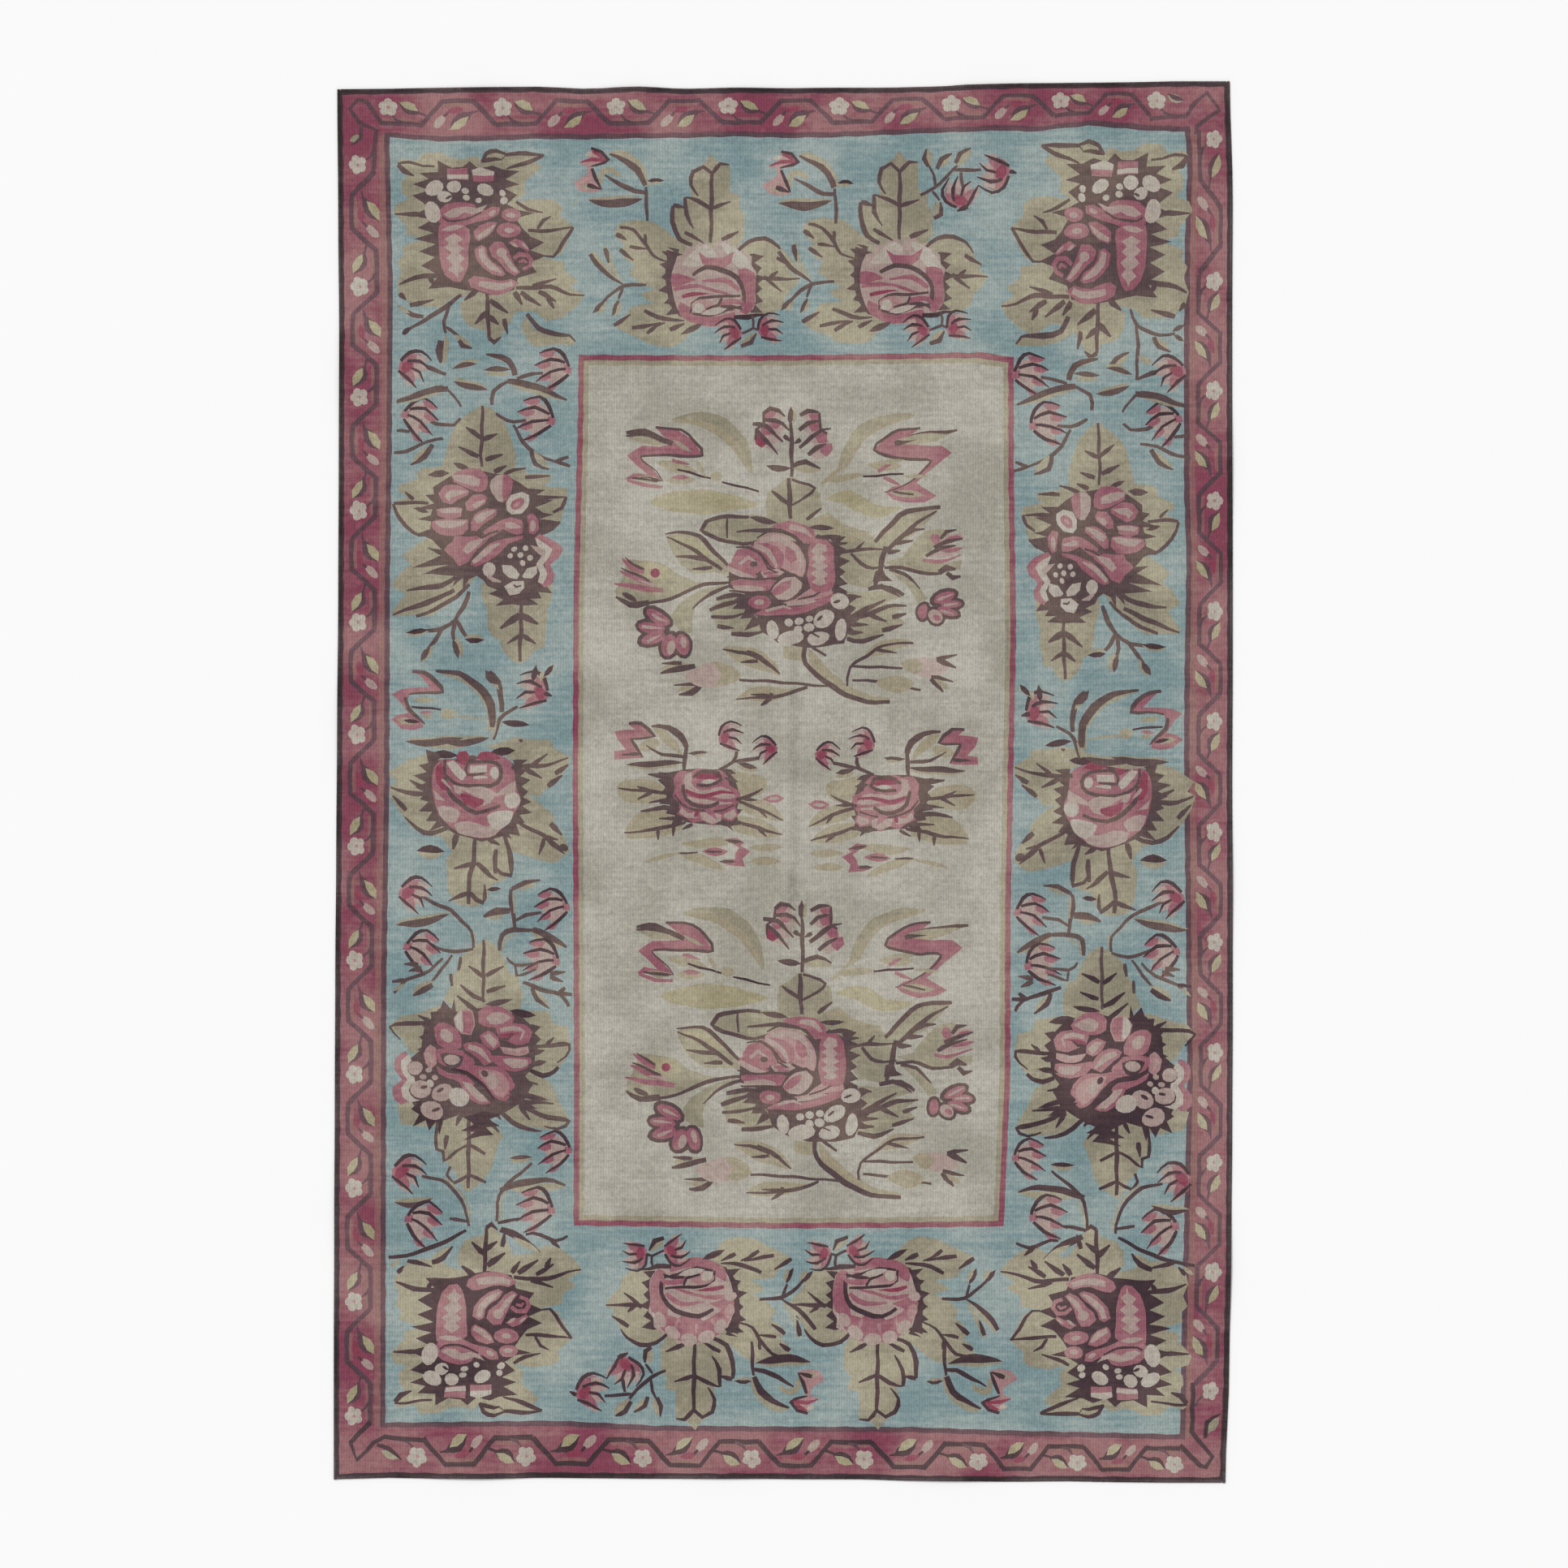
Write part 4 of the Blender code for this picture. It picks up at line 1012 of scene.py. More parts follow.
BUD_BRANCHES = """
line brown .78 : -74,-22.6 -70.5,-24.4 -67,-26 -64.6,-28.3 -62.8,-30.3 -62.6,-33.4
line khaki .4 : -62.2,-30 -62.1,-33
bud .95 -14 : -77.2,-22.6
leaf khaki 1.8 .3 : -67,-26.5 -78.3,-28.6
leaf brown 1.6 .5 : -67.2,-26.7 -78.3,-28.9
line brown .78 : -62.6,-33.6 -66,-34.3 -68.6,-33.9 -71,-32.8
bloom 1 -16 : -75.8,-33.4
line brown .78 : -68.8,-35.6 -71.5,-38.2 -76,-39.9 -78.6,-42.6 / -76,-39.9 -79,-40.4
leaf khaki .8 : -76.5,-40.6 -78.8,-42.3
line brown .65 : -66.8,-35 -69,-38 -71,-40.4
leaf khaki 1.8 : -70.6,-40.2 -75,-42.7
vein brown 1.26 : -70.8,-41 -72.4,-42 -74.8,-43.2
vein brown 1.04 : -73.6,-36.8 -76.6,-36.8 / -73,-37.4 -75.6,-38.2
line brown .91 : -54.9,-21.6 -55,-24.6 -54.4,-27.2 -54,-29.6
line khaki .5 : -54.2,-22 -54.3,-26.6
vein brown 1.03 : -54.8,-21.6 -52,-20.2 -48.9,-19.9
leaf khaki .9 : -53.6,-21.8 -49.6,-20.4
line brown .78 : -53.9,-28 -52,-26.8 -48.7,-26.3
bloom .95 185 : -43.9,-25.4
leaf khaki 1.9 -.3 : -60.4,-27 -55.6,-26.1
vein brown 1.49 : -55.2,-26 -57.8,-26 -60.5,-27.3
line brown 1.04 : -57.2,-34 -56.8,-31 -54.4,-29.8 -50.4,-30
line khaki .5 : -56.6,-34 -56,-31.6 -54,-30.6
leaf khaki 1.6 .4 : -43.8,-33.4 -51,-30.2
vein brown 1.38 : -50.6,-29.8 -47.5,-31 -43.7,-33.4
bloom 1 172 : -46,-36.4
line brown .65 : -55.8,-35.4 -54.2,-37 -49.2,-36.4 / -54.2,-37 -53.8,-39 -49.8,-37.8
vein brown 1.04 : -47,-38.6 -44,-38.3 / -47,-39.2 -44.3,-40.4
line brown .91 : -52.5,-40.4 -49,-41.8 -45,-43 -43.2,-45.2 / -45.6,-42.8 -42.7,-42.8 / -45.6,-42.8
    -44,-41.6
leaf khaki 1.4 : -50.4,-41.8 -47.2,-45.6
vein brown 1.03 : -50.6,-41.6 -49.6,-43.8 -47.2,-45.8
"""
BRANCHES_HIGH = """
line brown .91 : -74.6,84.4 -71,83.5 -68,82.2
bud .95 -14 : -77.4,83.6
line brown .78 : -73,74 -70,72.3 -66.5,72 -65,73.4
bloom 1 -16 : -76.2,74
leaf khaki 1.6 -.4 : -66.6,81.6 -59.8,79.6
leaf brown 1.3 -.3 : -66.6,80.9 -59.6,79.2
leaf khaki 1.5 : -66.8,83.4 -61.4,85.2
leaf brown 1 .3 : -67,83.2 -61.6,84.5
line brown .65 : -78,76.8 -73,78.8 -69,79.7 -66.6,78 -65,75.6
leaf khaki 1.8 .4 : -78,76.5 -68.4,78.8
vein brown 1.38 : -67.6,79.3 -72,78.8 -78,76.5
leaf khaki 1.3 : -60,86.6 -54.6,84.6
vein brown 1.38 : -54.2,82 -55.3,85 -60,86.4
leaf khaki 1 : -60.5,82.4 -55,82.4
leaf brown 1.1 .2 : -60.5,83 -55,83.3
line brown .78 : -53.8,81.3 -50.6,82.4 -48.4,82.6
bloom 1 178 : -43.6,83
line brown .91 : -58.7,76 -58.5,79 -55.5,80.8
leaf khaki 1.8 -.4 : -43.7,77 -55.4,80.3
vein brown 1.38 : -55.6,80.9 -50,79.8 -43.7,77
line brown .78 : -58,74.3 -54.5,72.6 -51,73.2
bloom 1.05 170 : -47,72.6
line brown .78 : -78.6,66.4 -76,66.8 -72,68.6 -68.6,69.3 / -78,71 -75.4,70.6
leaf khaki 1.5 : -71,68 -75.2,64
vein brown 1.15 : -70.8,68 -72.4,65.5 -75.2,63.9
line brown .78 : -54.5,72 -52.5,68.6 -50,66.3 -46,64.6 / -46,64.6 -43.4,65.6 / -46,64.6 -43,63.8
leaf khaki 1.3 : -50.6,67 -47.2,63.2
vein brown 1.03 : -50.8,67 -50,64.2 -47.2,63
"""
BRANCHES_LOW = """
bud 1 -12 : -78.6,-79
line brown .78 : -73,-79.6 -69,-80.4 -66,-83 -64.2,-86 -63.5,-89.6
line khaki .5 : -68.4,-79.9 -65.4,-82.4 -63.6,-85.6 -62.9,-89
leaf khaki 2 -.4 : -78.6,-84.8 -70.4,-84
leaf brown 1.2 -.9 : -78.5,-84.9 -70.6,-84
bloom 1.05 -16 : -75.6,-88.4
line brown .78 : -67.4,-88.2 -63.7,-88.6
line brown .91 : -79.6,-96 -76,-95.5 -71,-94 -67.6,-92.4 -64,-90.4
leaf khaki 1.6 : -71.2,-96.8 -66.8,-93.6
vein brown 1.15 : -71,-96.9 -68.6,-96 -66.8,-93.6
leaf khaki 1 : -77,-96.2 -79.4,-98
line brown .78 : -50.6,-77 -53,-79 -56.5,-82 -57.6,-85 -57.8,-88.6
line khaki .5 : -56,-82.6 -57,-85.4 -57.2,-88.4
leaf khaki 1.2 : -55.4,-76.4 -50.4,-76.2
leaf brown .9 .2 : -55.4,-75.9 -50.4,-75.8
bloom .95 182 : -43.4,-74.6
leaf khaki 1.8 .4 : -43.8,-81.4 -56.4,-82
vein brown 1.38 : -57.2,-82.4 -53,-81 -48,-80.3 -43.9,-81.3
line brown .78 : -57.6,-88.9 -55,-88.4 -52.8,-88.2
bloom 1.05 176 : -47,-86.6
vein brown 1.49 : -57,-90.2 -53,-92 -49,-95
leaf khaki 1.3 : -54.4,-91.8 -48.8,-95.2
line brown .78 : -52,-91.2 -50.5,-91 -46,-92.5 -43.4,-91.6
vein brown 1.04 : -47,-92.3 -45.2,-94
"""

# %% [markdown]
# ## The ivory middle
#
# Two large bouquets stand one above the other, with a pair of small roses between them. Their sand-
# coloured leaves have faded nearly into the ground.

# %% Large bouquet
BIG_BOUQUET = """
soft sand : -22.6,73.2 -18,74.6 -13,74.1 -9.5,71.6 -6.8,67.5 -6.2,62 -8,64 -11,68 -16,71.4 -20,72.4
soft khaki : -22.6,73.3 -18,74.6 -13,74.1 -9.5,71.6 -6.8,67.5 -6.2,62 -8.3,67.2 -11.6,70.6 -15.8,72.8
    -19.2,73.5
soft sand : 26.6,74 22,74.3 16,72.4 12.5,68 11,63 13.2,64 15.6,68 19,71 24,72.8
soft khaki : 26.6,74.1 22,74.3 16,72.4 12.5,68 11,63 13.9,67.4 17.4,71 21.6,73.1
soft gold : -27,56.5 -22,58.6 -15,58.9 -9,57.5 -5,56 -9,55 -16,54 -23,54.8
soft gold : 8.5,57 12,58.7 15,58.3 18.5,56 24,55.3 20,53.5 16,54 12,56.2
area rose : -25.8,71.4 -21.5,71.1 -18.6,69.3 -16.3,65.9 -23,65.7 -28.6,65.6 -24.3,60.8 -31.8,61.2
    -30.2,62.4 -27.5,62 -31.6,65.8 -28.6,67.8 -25,67.7 -22,68.2 -24,69.8
area sand : -31.5,69.7 -27,70 -22,68.2 -25.5,67.9 -28.8,68.3
vein brown 1.26 : -22.2,68.2 -27,70 -31.8,69.9
vein brown .65 : -25.8,71.5 -20.6,71 -18,68.8 -16.3,65.8 -23,65.9 -28.7,65.6 -25.5,62.6 -24.3,60.7
line rose .8 : -31.4,61 -28,59.9 -24.4,59.6
leaf sand 1.3 : -30,61.4 -24.4,60.8
leaf brown .8 : -29.5,61.4 -24.4,60.8
leaf sand 2.2 : -25.8,64.6 -17.3,62.4
leaf sand 1.8 : -24,60.8 -17.6,61
vein rose .8 : -22.5,65 -19,64
leaf rose 1.1 : -22.6,61.5 -18.8,61.4
line dark .52 : -21.4,63.1 -14.6,61.2 / -12.4,60.5 -4.8,58.7
oval sand 1.3 1 : -13.5,61.6
area rose : 18.4,67 21,69.8 24.6,71.4 27.5,71.3 25.6,69.8 24,68.3 28,67.9 32,67.9 34.1,66.4 31.9,64.7
    26.8,60.3 31,57.7 28.5,56.5 25,56.3 22,57.1 20.6,58.4 22,59.6 25.4,60.2 29.6,64.8 24,65.3 20.5,66.2
area sand : 22.4,68.3 26,69.3 34.8,70.8 31,68.9 27,68
vein brown 1.38 : 22.4,68.3 28,69.9 35.2,70.9
vein brown .65 : 27.6,71.4 23.4,71 20.6,69.4 18.3,66.9 24,65.2 29.7,64.8 25.6,60.6 20.4,58.4
leaf sand 1.6 : 21.4,58.4 28.6,57.9
line brown .52 : 22,58.7 26.4,57.9
line dark .52 : 16,61.6 24.2,62.2
leaf sand 2.2 : 17,64 24,63.6
vein rose .9 : 19.2,62.7 22.4,64.8 / 20.3,61.4 24,59.8
leaf sand 1.6 : 8,60.8 16.5,62
line sand .8 : 7.6,60 10,62 12,64
area khaki : -3,58.6 -1,59.8 .6,61.2 2,61.6 5.6,59.3 7.5,58.4 7.8,55 5.5,53 1.6,52.6 -3,53 -3.6,56
area khaki : -16.3,50.8 -15,52.6 -10,53.6 -6,53.8 0,53.4 6,53.4 12,50.8 15,49 17,50.4 20,47.4 20.6,44.5
    18.4,40.2 17.5,39 13,40 10,44 0,49 -8,48 -12.5,49
area sand : 6,53.2 9,54.3 12,52 15,51 18,50.4 14,48.4 10,49
area khaki : 18.6,48.5 20.5,50.6 22.6,53.1 26.8,55.3 32,55.5 29.4,52.7 26.3,49.7 23.4,48.3 21,46.6
    19.8,45
area khaki : 20.6,44.3 24,45.3 26,47.9 28.6,50.7 31.6,51.2 34.4,50.6 30.4,47.3 28.6,45.2 32,44.2
    36,44.7 35.8,42.8 32,42.2 28,42.2 24,43.2
area khaki : 21,43 24.6,41.8 27.4,39.2 29.2,37 27.2,36.2 25,39.4
area khaki : 12,38.5 17,38.2 21,38.8 24.2,37.3 20,36 25,35.8 22.5,34 24.7,32 20,30.2 16.5,28 12.5,29
    8,27 10,34
area khaki : -23.8,49.4 -22,50.4 -18,50.1 -15.4,48.6 -13,45.3 -10.5,43.6 -10,41.6 -14,42.2 -18,42
    -20.8,44 -22.5,46.6
soft gold : -23.2,49 -20,49.6 -16.8,48.6 -14,46 -16,45.6 -19,47
area khaki : -34,38.5 -32.6,40.8 -31.4,45 -27,44.6 -24,44 -21.6,42 -17.6,40.4 -14,40.1 -20,38 -26,36.3
    -30,35.7 -33.4,36.6
soft gold : -29.8,43.8 -26.5,44.3 -23,43 -22.6,41.2 -26,40.8 -29,42
area khaki : -23,33 -21,36 -17,38.6 -12,39.9 -10,39.4 -15,37.9 -17.5,36 -18.4,33 -18.3,30 -20.3,30.2
    -22,31.6
area khaki : -14.6,35 -13,36.6 -9,38 -4,37.6 -1,34 -2,30 -8,29.6 -13.6,31.2 -14.2,33.2
line brown .91 : 1.6,72.4 1.7,67 1.7,61.5
leaf brown 1.3 : 1.5,75.9 1.5,71.8
leaf khaki .7 : 2.3,75.6 2.2,72
soft pale : -3.6,74.4 -1.2,74.8 .2,73.9 -.6,72.8 1,71.4 -.6,70.6 0,68.6 -2,68.2 -.8,66.6 -3,67.2
    -5.4,68.2 -4.4,71.6
soft rose : -4,74.2 -2.6,75.1 -1,74.9 -1.9,73.6 -3.8,73.1 / -3.2,72.9 -1.2,73 -.4,72.2 -1.4,71.3
    -2.6,71.5 / -4.8,72 -3.2,71.8 -2.4,70.2 -4.1,69.9
soft crimson : -5.6,70.6 -4.2,69.4 -3.2,68.3 -4.4,67.5 -5.6,68.2
vein brown .98 : -4,74.2 -2.6,75.3 -1,75 .4,73.8 / -3.8,73 -1.6,73 0,72.3 1.2,70.8 / -6.2,72.2
    -3.4,71.8 -1.6,70 0,68.5 / -5.4,71 -4,69.6 -2.4,67.8 -1.1,66.1 / 0,69.8 1.4,68.7 / 3.5,69.2 2.2,68.4
line brown .65 : -3.9,74.2 -4,72.4 -5.4,71 -5.6,69
soft pale : 3.6,73.9 5.6,74.6 7.2,73.8 7,72 8.6,70.4 9.4,68 8.6,65.8 6.6,65 5.2,66 6.2,68.4 3.8,68.2
    5.4,70.2 3.8,71.2 5,72.6
soft rose : 5,74.2 7.1,74.5 7.3,73.3 5.6,73.1 / 4.9,72.3 7.3,72.9 7.4,71 5.8,70.7 / 6.4,69.8 8.7,70.7
    9,68.5 7.2,68.3 / 7.3,67.6 9.9,68.5 10.1,67 8.7,65.6 7.6,66.4
vein brown .98 : 3.3,73.9 5,74.8 7.3,74.7 / 3.3,71 4.8,72.4 7.3,73 / 3.2,67.4 6,69.7 8,71 9.6,71.3 /
    5,65.9 6.7,67.4 8.8,68.3
line brown .65 : 7.4,74.6 7.5,71 8.8,70.2
leaf brown 1.4 -.2 : -3.4,63.8 1.6,63.2
leaf sand 1.9 .3 : 1.8,63.2 7.8,62.8
vein brown 1.03 : 1.8,63.6 4.6,64.6 7.6,63.2
line brown 1.04 : 1.2,61.2 1.3,57 1.5,53
line brown .65 : 1.8,61 6.4,59.2 3.2,56.6 1.4,55.6
vein brown .91 : 1.3,56 -.4,57.2 -2.4,58.7 / 4.8,53 7.6,55.3
area brown : -11,42.6 -7,47.6 -2,50 4.4,48 7,50 10.3,48 11.2,44 10.8,39.6 12.8,38.6 13.3,35.6 13.5,31
    12.2,28 8,27.2 3.5,27.1 -1,28.2 -4.4,30.4 -5.4,33.4 -8.4,36.2 -7.6,38 -11,39.2
teeth brown 2.7 1.9 : 10,49.4 11,45.5 11,41.5 10.4,38.6
teeth brown 2.3 2 : 12.7,37.5 13.2,33.8 13.1,29.8
teeth brown 3 1.9 : -5,31.8 -7.4,35 -8.4,37.6
line brown .91 : -6.8,53.4 -11,53.6 -15.4,52.6 -16.6,50.8 -13,49 -8,48 -4.8,48.8
line brown .52 : -11.4,53.3 -11.3,49.2
vein brown 1.03 : 4,47.6 2.8,49.4 0,50.6 -5,50.8 -9.4,50.4
leaf brown 1.3 : -6.8,53.4 -1,52.2
soft rose : -2.4,51.6 1,52.6 4.2,52 6.2,50.6 6.6,48.6 4.4,48 2.6,49.8 0,50.8
vein pale 1.2 : 1.2,51.5 3.8,51 5.6,49.4
leaf brown 1.1 : 5,51.3 10.4,51.3
leaf brown 1 : 6.4,49.4 12,49.6
vein brown 1.03 : 9,47.8 13,48.2
vein brown .78 : 11,46.2 14.4,46.8 20.4,47 / 14.6,46.6 16.4,48.6 / 13.6,46.2 15.6,44 18,43.2 20.6,43.6
line brown 1.15 : 20.6,47.6 20,45 19.4,42 18.6,39.6
area brown : 18.5,42.6 20,43 20.6,41.6 22,40.6 18.1,40.3
vein brown 1.03 : 17.1,38.8 20,39.4 22,38.4 23.7,37.3
line brown 1.03 : 18.4,48.3 21.4,51.5 25,54.6 31.8,55.4
vein brown 1.04 : 20.4,46.4 23.8,49.4 27,52.2 31,54.6 / 24,49.6 26.4,50.8 28.6,51 / 22.4,48.2 26.2,48.6
    / 21,46.4 23.6,46.6
line brown .78 : 20.4,43.1 24,43.3 28,42.1 32,42.2
vein brown 1.49 : 31.4,42.3 33,43.3 34.9,42.8
vein brown 1.15 : 33,42.2 34.2,41.1 35.9,41.5
oval rose 1 1.2 20 : 30.7,49.1
leaf pale 1.8 : 31.2,47.8 36,50
leaf rose 1.2 .2 : 32.4,48.4 36.4,49.4
vein brown .91 : 31.8,49 33,50.5 34.9,50.8 / 30.3,47.3 33,48.4 36.2,49.2
leaf pale 2 : 28.9,45.3 36.4,47.4
leaf rose .9 : 31.6,46.4 36.5,47.3
vein brown .91 : 28.9,45.5 31.5,47 34.9,47.8
vein rose .8 : 28.2,44.8 30.6,44.4 33,44.8 35.9,45.9
vein brown .78 : 21.4,42.8 24.6,42 27.6,39
vein brown .91 : 24.4,37.6 21.6,39.2 17.8,39.2
oval brown 3.2 1.7 22 : 32.4,37.2
oval brown 3 1.5 0 : 33.8,35.9
oval brown 3 1.5 -20 : 33,34.4
oval brown 2.2 1.9 -40 : 30.8,33.4
oval brown 1.6 2.2 -12 : 28.2,34.3
oval rose 2.4 1 22 : 32.5,37.2
oval rose 2.2 .8 0 : 33.9,35.9
oval rose 2.2 .8 -20 : 33.1,34.4
oval pale 1.6 1.3 -40 : 30.8,33.4
oval rose 1 1.6 -12 : 28.2,34.3
vein pale .6 : 31,36.6 34.3,38 / 32.4,35.8 35.4,36 / 31.6,34.7 34.4,33.9
oval rose .9 .6 -30 : 31.1,33.2
vein brown 1.04 : 13.6,33.2 17,35 20.6,36.9 / 13.6,32.8 18,34.2 21,35.4 25,35.6 / 22,33.2 24.8,34.1 /
    19.8,30.5 24.2,31.8 / 17,34 21,32.3 / 13,31.8 17,31.8 / 13,30.2 16.2,30.2 / 12.8,29 16,28.3
    20.2,29.8 / 13,37.6 15.8,37.3
soft pink : -5.8,48.5 -2.4,50.2 .6,49.6 3.2,47.4 4.5,44.4 4,41.4 1.2,42.4 -2,44 -6,46.6
vein pale 1.4 : -4.6,48.6 -1,49.2 2,47.2 3.6,44.2 3.2,42.4
soft rose : .6,47.8 2.2,46.6 2.8,44.8 1.6,44 .4,45.4
soft rose : -5,48.2 -1.6,47.6 .2,45.6 -.6,42.8 -3.4,42 -6.4,44 -7.6,46.8
vein pale 1.2 : -5.8,47.8 -3,46.4 -1.4,43.6 -2,42
vein brown .65 : -7.4,47.6 -4.6,46 -2.6,43.4 -1.4,42.9
soft rose : -10.4,44.8 -9.4,46.8 -6.8,47 -4.4,44.6 -5,42.2 -8.4,42
vein pale .9 : -8.8,44 -7.2,45.4 -5.4,44.2
oval brown .8 .6 : -6,43.9
soft rose : -11.6,43.8 -9.4,42 -5.8,40.8 -5,41.6 -7.6,42.8 -10.4,44.4
vein pale 1.2 : -11.2,43.3 -8.6,41.9 -5.6,41.2
soft pale : -4.6,42.4 -1.2,43 .2,42.2 -1.6,41 -3.8,41.2
vein rose .8 : -4,42.2 -1,42.2 / -3.2,41.4 -.8,41.6
soft rose : -10.8,40.4 -7,40.9 -2.6,40.8 -.4,40 -3.8,38.4 -8.8,38.8
soft pale : -10.2,39.4 -6,39.7 -3.6,38.9 -6,38.1 -9.6,38.5
soft pale : -2.4,38.4 .2,41.2 2.4,41.5 3.8,40.1 2.9,38 .8,36.7 -1.4,36.9
soft rose : -2.4,38.3 -.2,40.3 1.5,40.8 1.4,39.4 -.4,38 -1.8,37.6
oval rose 2.3 1.4 : -4.8,36.2
oval pale 1 .6 : -4.8,36.2
soft rose : -5.8,33.9 -2,33.6 2,33.8 6,34.8 9.8,36.6 10.2,38.4 8,37.4 4,35.6 0,35.2 -4,34.9
soft pink : -.2,36.2 2.6,36.8 5.4,39 9.8,39.2 10,37.8 6.4,36.9 3,35.6
vein pale .9 : .6,35.7 4,36.2 6.6,36.6
vein pale .7 : -3.4,34.6 0,35.4 1.6,34.8
soft rose : 5.3,47.6 6.4,49.1 8.6,49 10,47.4 10.4,43 10.1,39.2 8,38.2 5.6,38.8 4.8,42.6 4.9,45.6
area pale : 6.2,47.4 7,48.3 8.6,47.8 8.9,46.6 7.8,46 8.9,45 7.9,44.3 9.1,43.5 7.9,42.8 9,41.9 8.2,41.2
    8.8,40.2 7.4,39.6 5.8,40.2 6.8,41.1 5.6,42 6.7,42.8 5.5,43.7 6.6,44.4 5.5,45.2 6.5,45.9 5.8,46.6
line brown .5 : -11.4,41.5 -8,41 -3.8,41 .2,41.2
line brown .5 : -10.8,38.5 -6.6,38.3 -3.2,38.2 -1,36.6
line brown .5 : -9.6,47.3 -6.6,47.3 -4.2,45.4 -3.2,43.2 -1.4,42.2
line brown .5 : -5.4,49.3 -2.2,50.9 1.2,50.2 3.6,48 4.9,45.6 4.7,41.8
line brown .45 : -2.6,38.6 -.4,41.2 2.2,42 4,40.6
line brown .45 : 3,36.8 6,37.6 7.4,38.4
oval white 1.2 2 15 : -2.2,30.7
oval white 2.7 1.5 8 : 1.5,29.1
oval white .9 .8 : 1.2,32.2 3.2,32.5 3.1,30.8
oval white 1.1 .9 : 5.2,31.1
oval white .8 .7 : 5.2,32.9
oval white 2.4 1.6 30 : 8.2,32.9
oval brown .9 .3 40 : 7.4,33
oval white 2 1.6 : 11.4,36.5
oval brown .9 .3 20 : 10.8,36.4
oval white 1.2 2.3 -10 : 11.6,30.7
oval white 2.3 1.4 12 : 7.1,29
line brown .39 : 5.4,30.3 7.4,29.3
vein brown .91 : -11.2,43.8 -14,46.6 -17,49.6 -20,50.4 -23.8,50 / -12.4,42.8 -15,44.6 -19,47.4
    -23.6,49.4 / -15,44.8 -17.4,45.2 -21.6,45.6 / -14.4,43.2 -18.2,43
line brown .78 : -10.6,40.3 -16,39.8 -20,38.2 -24,36.6 -29,35.8
vein brown 1.38 : -27,36.2 -31,35.8 -33.9,37.4
oval brown 1.7 .6 -25 : -31,37.3
vein rose 1.3 : -28,42.3 -30.4,43.4 -32.4,45
vein brown .65 : -28,42.8 -30.2,44 -31.8,45.2
oval crimson .95 .95 : -25.8,42.2
vein rose 1.3 : -26.8,40 -30,41.3 -33,42.6
vein brown .65 : -27,40.6 -30,42 -32.8,43.2
vein rose 1.2 : -24.2,38.6 -29,39.2 -34,40.1
vein pale .6 : -26,39.8 -29.4,40.6
vein brown .78 : -10.6,39.6 -14.4,38.2 -17,36.2 -18.4,34.9
oval brown 3.5 2 -30 : -25.3,33.2
oval brown 3.5 1.9 -8 : -26.4,31.1
oval brown 3.4 1.9 14 : -26.3,29
oval brown 2.3 3 -18 : -23,27.6
oval brown 2.1 3 15 : -20.4,27.7
oval rose 2.7 1.2 -30 : -25.3,33.2
oval rose 2.7 1.1 -8 : -26.5,31.1
oval rose 2.6 1.2 14 : -26.2,29
oval rose 1.5 2.3 -18 : -23.1,27.6
oval rose 1.4 2.3 15 : -20.3,27.7
oval pale .6 1.3 15 : -20.1,28.2
vein pale .7 : -26.6,33.8 -23.6,32.3 / -28.4,31.4 -24.6,31 / -27.6,28.3 -24.6,29.6
oval pale .9 1.5 -18 : -22.6,27.2
vein brown 1.03 : -14.8,34.6 -12,35.7 -8,36.8 / -13.6,36.9 -10,37.7 -7,37.6
vein brown .78 : -14.6,33.2 -10,33.4 -6.6,34.5
vein brown 1.03 : -13.4,31.5 -10,31 / -10.6,29.8 -7,29.8 -3.8,30.4
leaf sand 1.8 : -18,23.6 -24.6,23
vein brown .91 : -20.6,23.9 -24.4,24
vein brown 1.26 : -17.8,23.5 -21,22.8 -24.8,21.9
leaf sand 1.6 : -16.6,19.4 -21.4,18.6
vein brown .78 : -16.6,19.7 -22.2,19.6
vein brown 1.26 : -16.6,19.4 -18.6,17.9 -21.1,17.6
soft blush : -20,21.6 -17,23.2 -13,24.3 -9.6,22.6 -8.6,20.8 -12,19.3 -17,19.2
soft sand : -14,24.2 -10.4,23.4 -8.4,21 -11.6,19.4 -13.6,19.6 -12.4,21.8
soft sand : -12.2,26.9 -8,27.3 -4,26.1 -1,23.2 -.4,21.6 -4,22.4 -8,23.6
vein brown .78 : -5,24.9 -7.5,26 -12.2,26.7 / -5,24.4 -8.7,24.1
vein brown 1.03 : -7.4,26.3 -4.5,25 -.6,21.8
line brown .65 : -8.8,20.6 -3,20.3 3,19.8 9,19.3
soft sand : -9.4,16.8 -7,18.7 -3,19.3 1,18.7 4.2,18.9 0,17 -4,16.2
vein brown .78 : 5,19.2 0,17.5 -5,17 -9.6,16.8 / -2.4,17.4 -6.6,17.6
vein brown 1.04 : -2.2,18 -2.6,16.9 -4.6,15.5
area sand : 0,27.4 4.2,27.2 4.2,24.4 0,24.9
soft sand : 5,27 9,23 13.4,19.4 18,17.4 22,16.8 16,16.4 11,18.4 6.4,22
line brown 1.15 : 4.3,27.9 4.5,24 8,20.6 12.6,17.6 17,16.2 21.6,16.1
line brown .65 : 5.2,27.6 8.6,25.4
soft sand : 16.4,25.6 20,28.6 26,28.4 21,25.9
line brown .65 : 13,19.4 13.4,23 16.8,25.4 20,27.5 26.2,28.1 / 14,23.3 24,23 / 14,20.6 19,20.2 27.8,18.6
vein brown .78 : 18.6,26.8 23,26 / 20.6,20 23.2,18.3 / 20,20.3 23,21
soft sand : 18.6,20 22.6,21.6 26.4,19.8 23,17.8
soft blush : 24.4,23.8 28,25.1 31.6,24.6 33.2,22.9 31,21 27,21.6
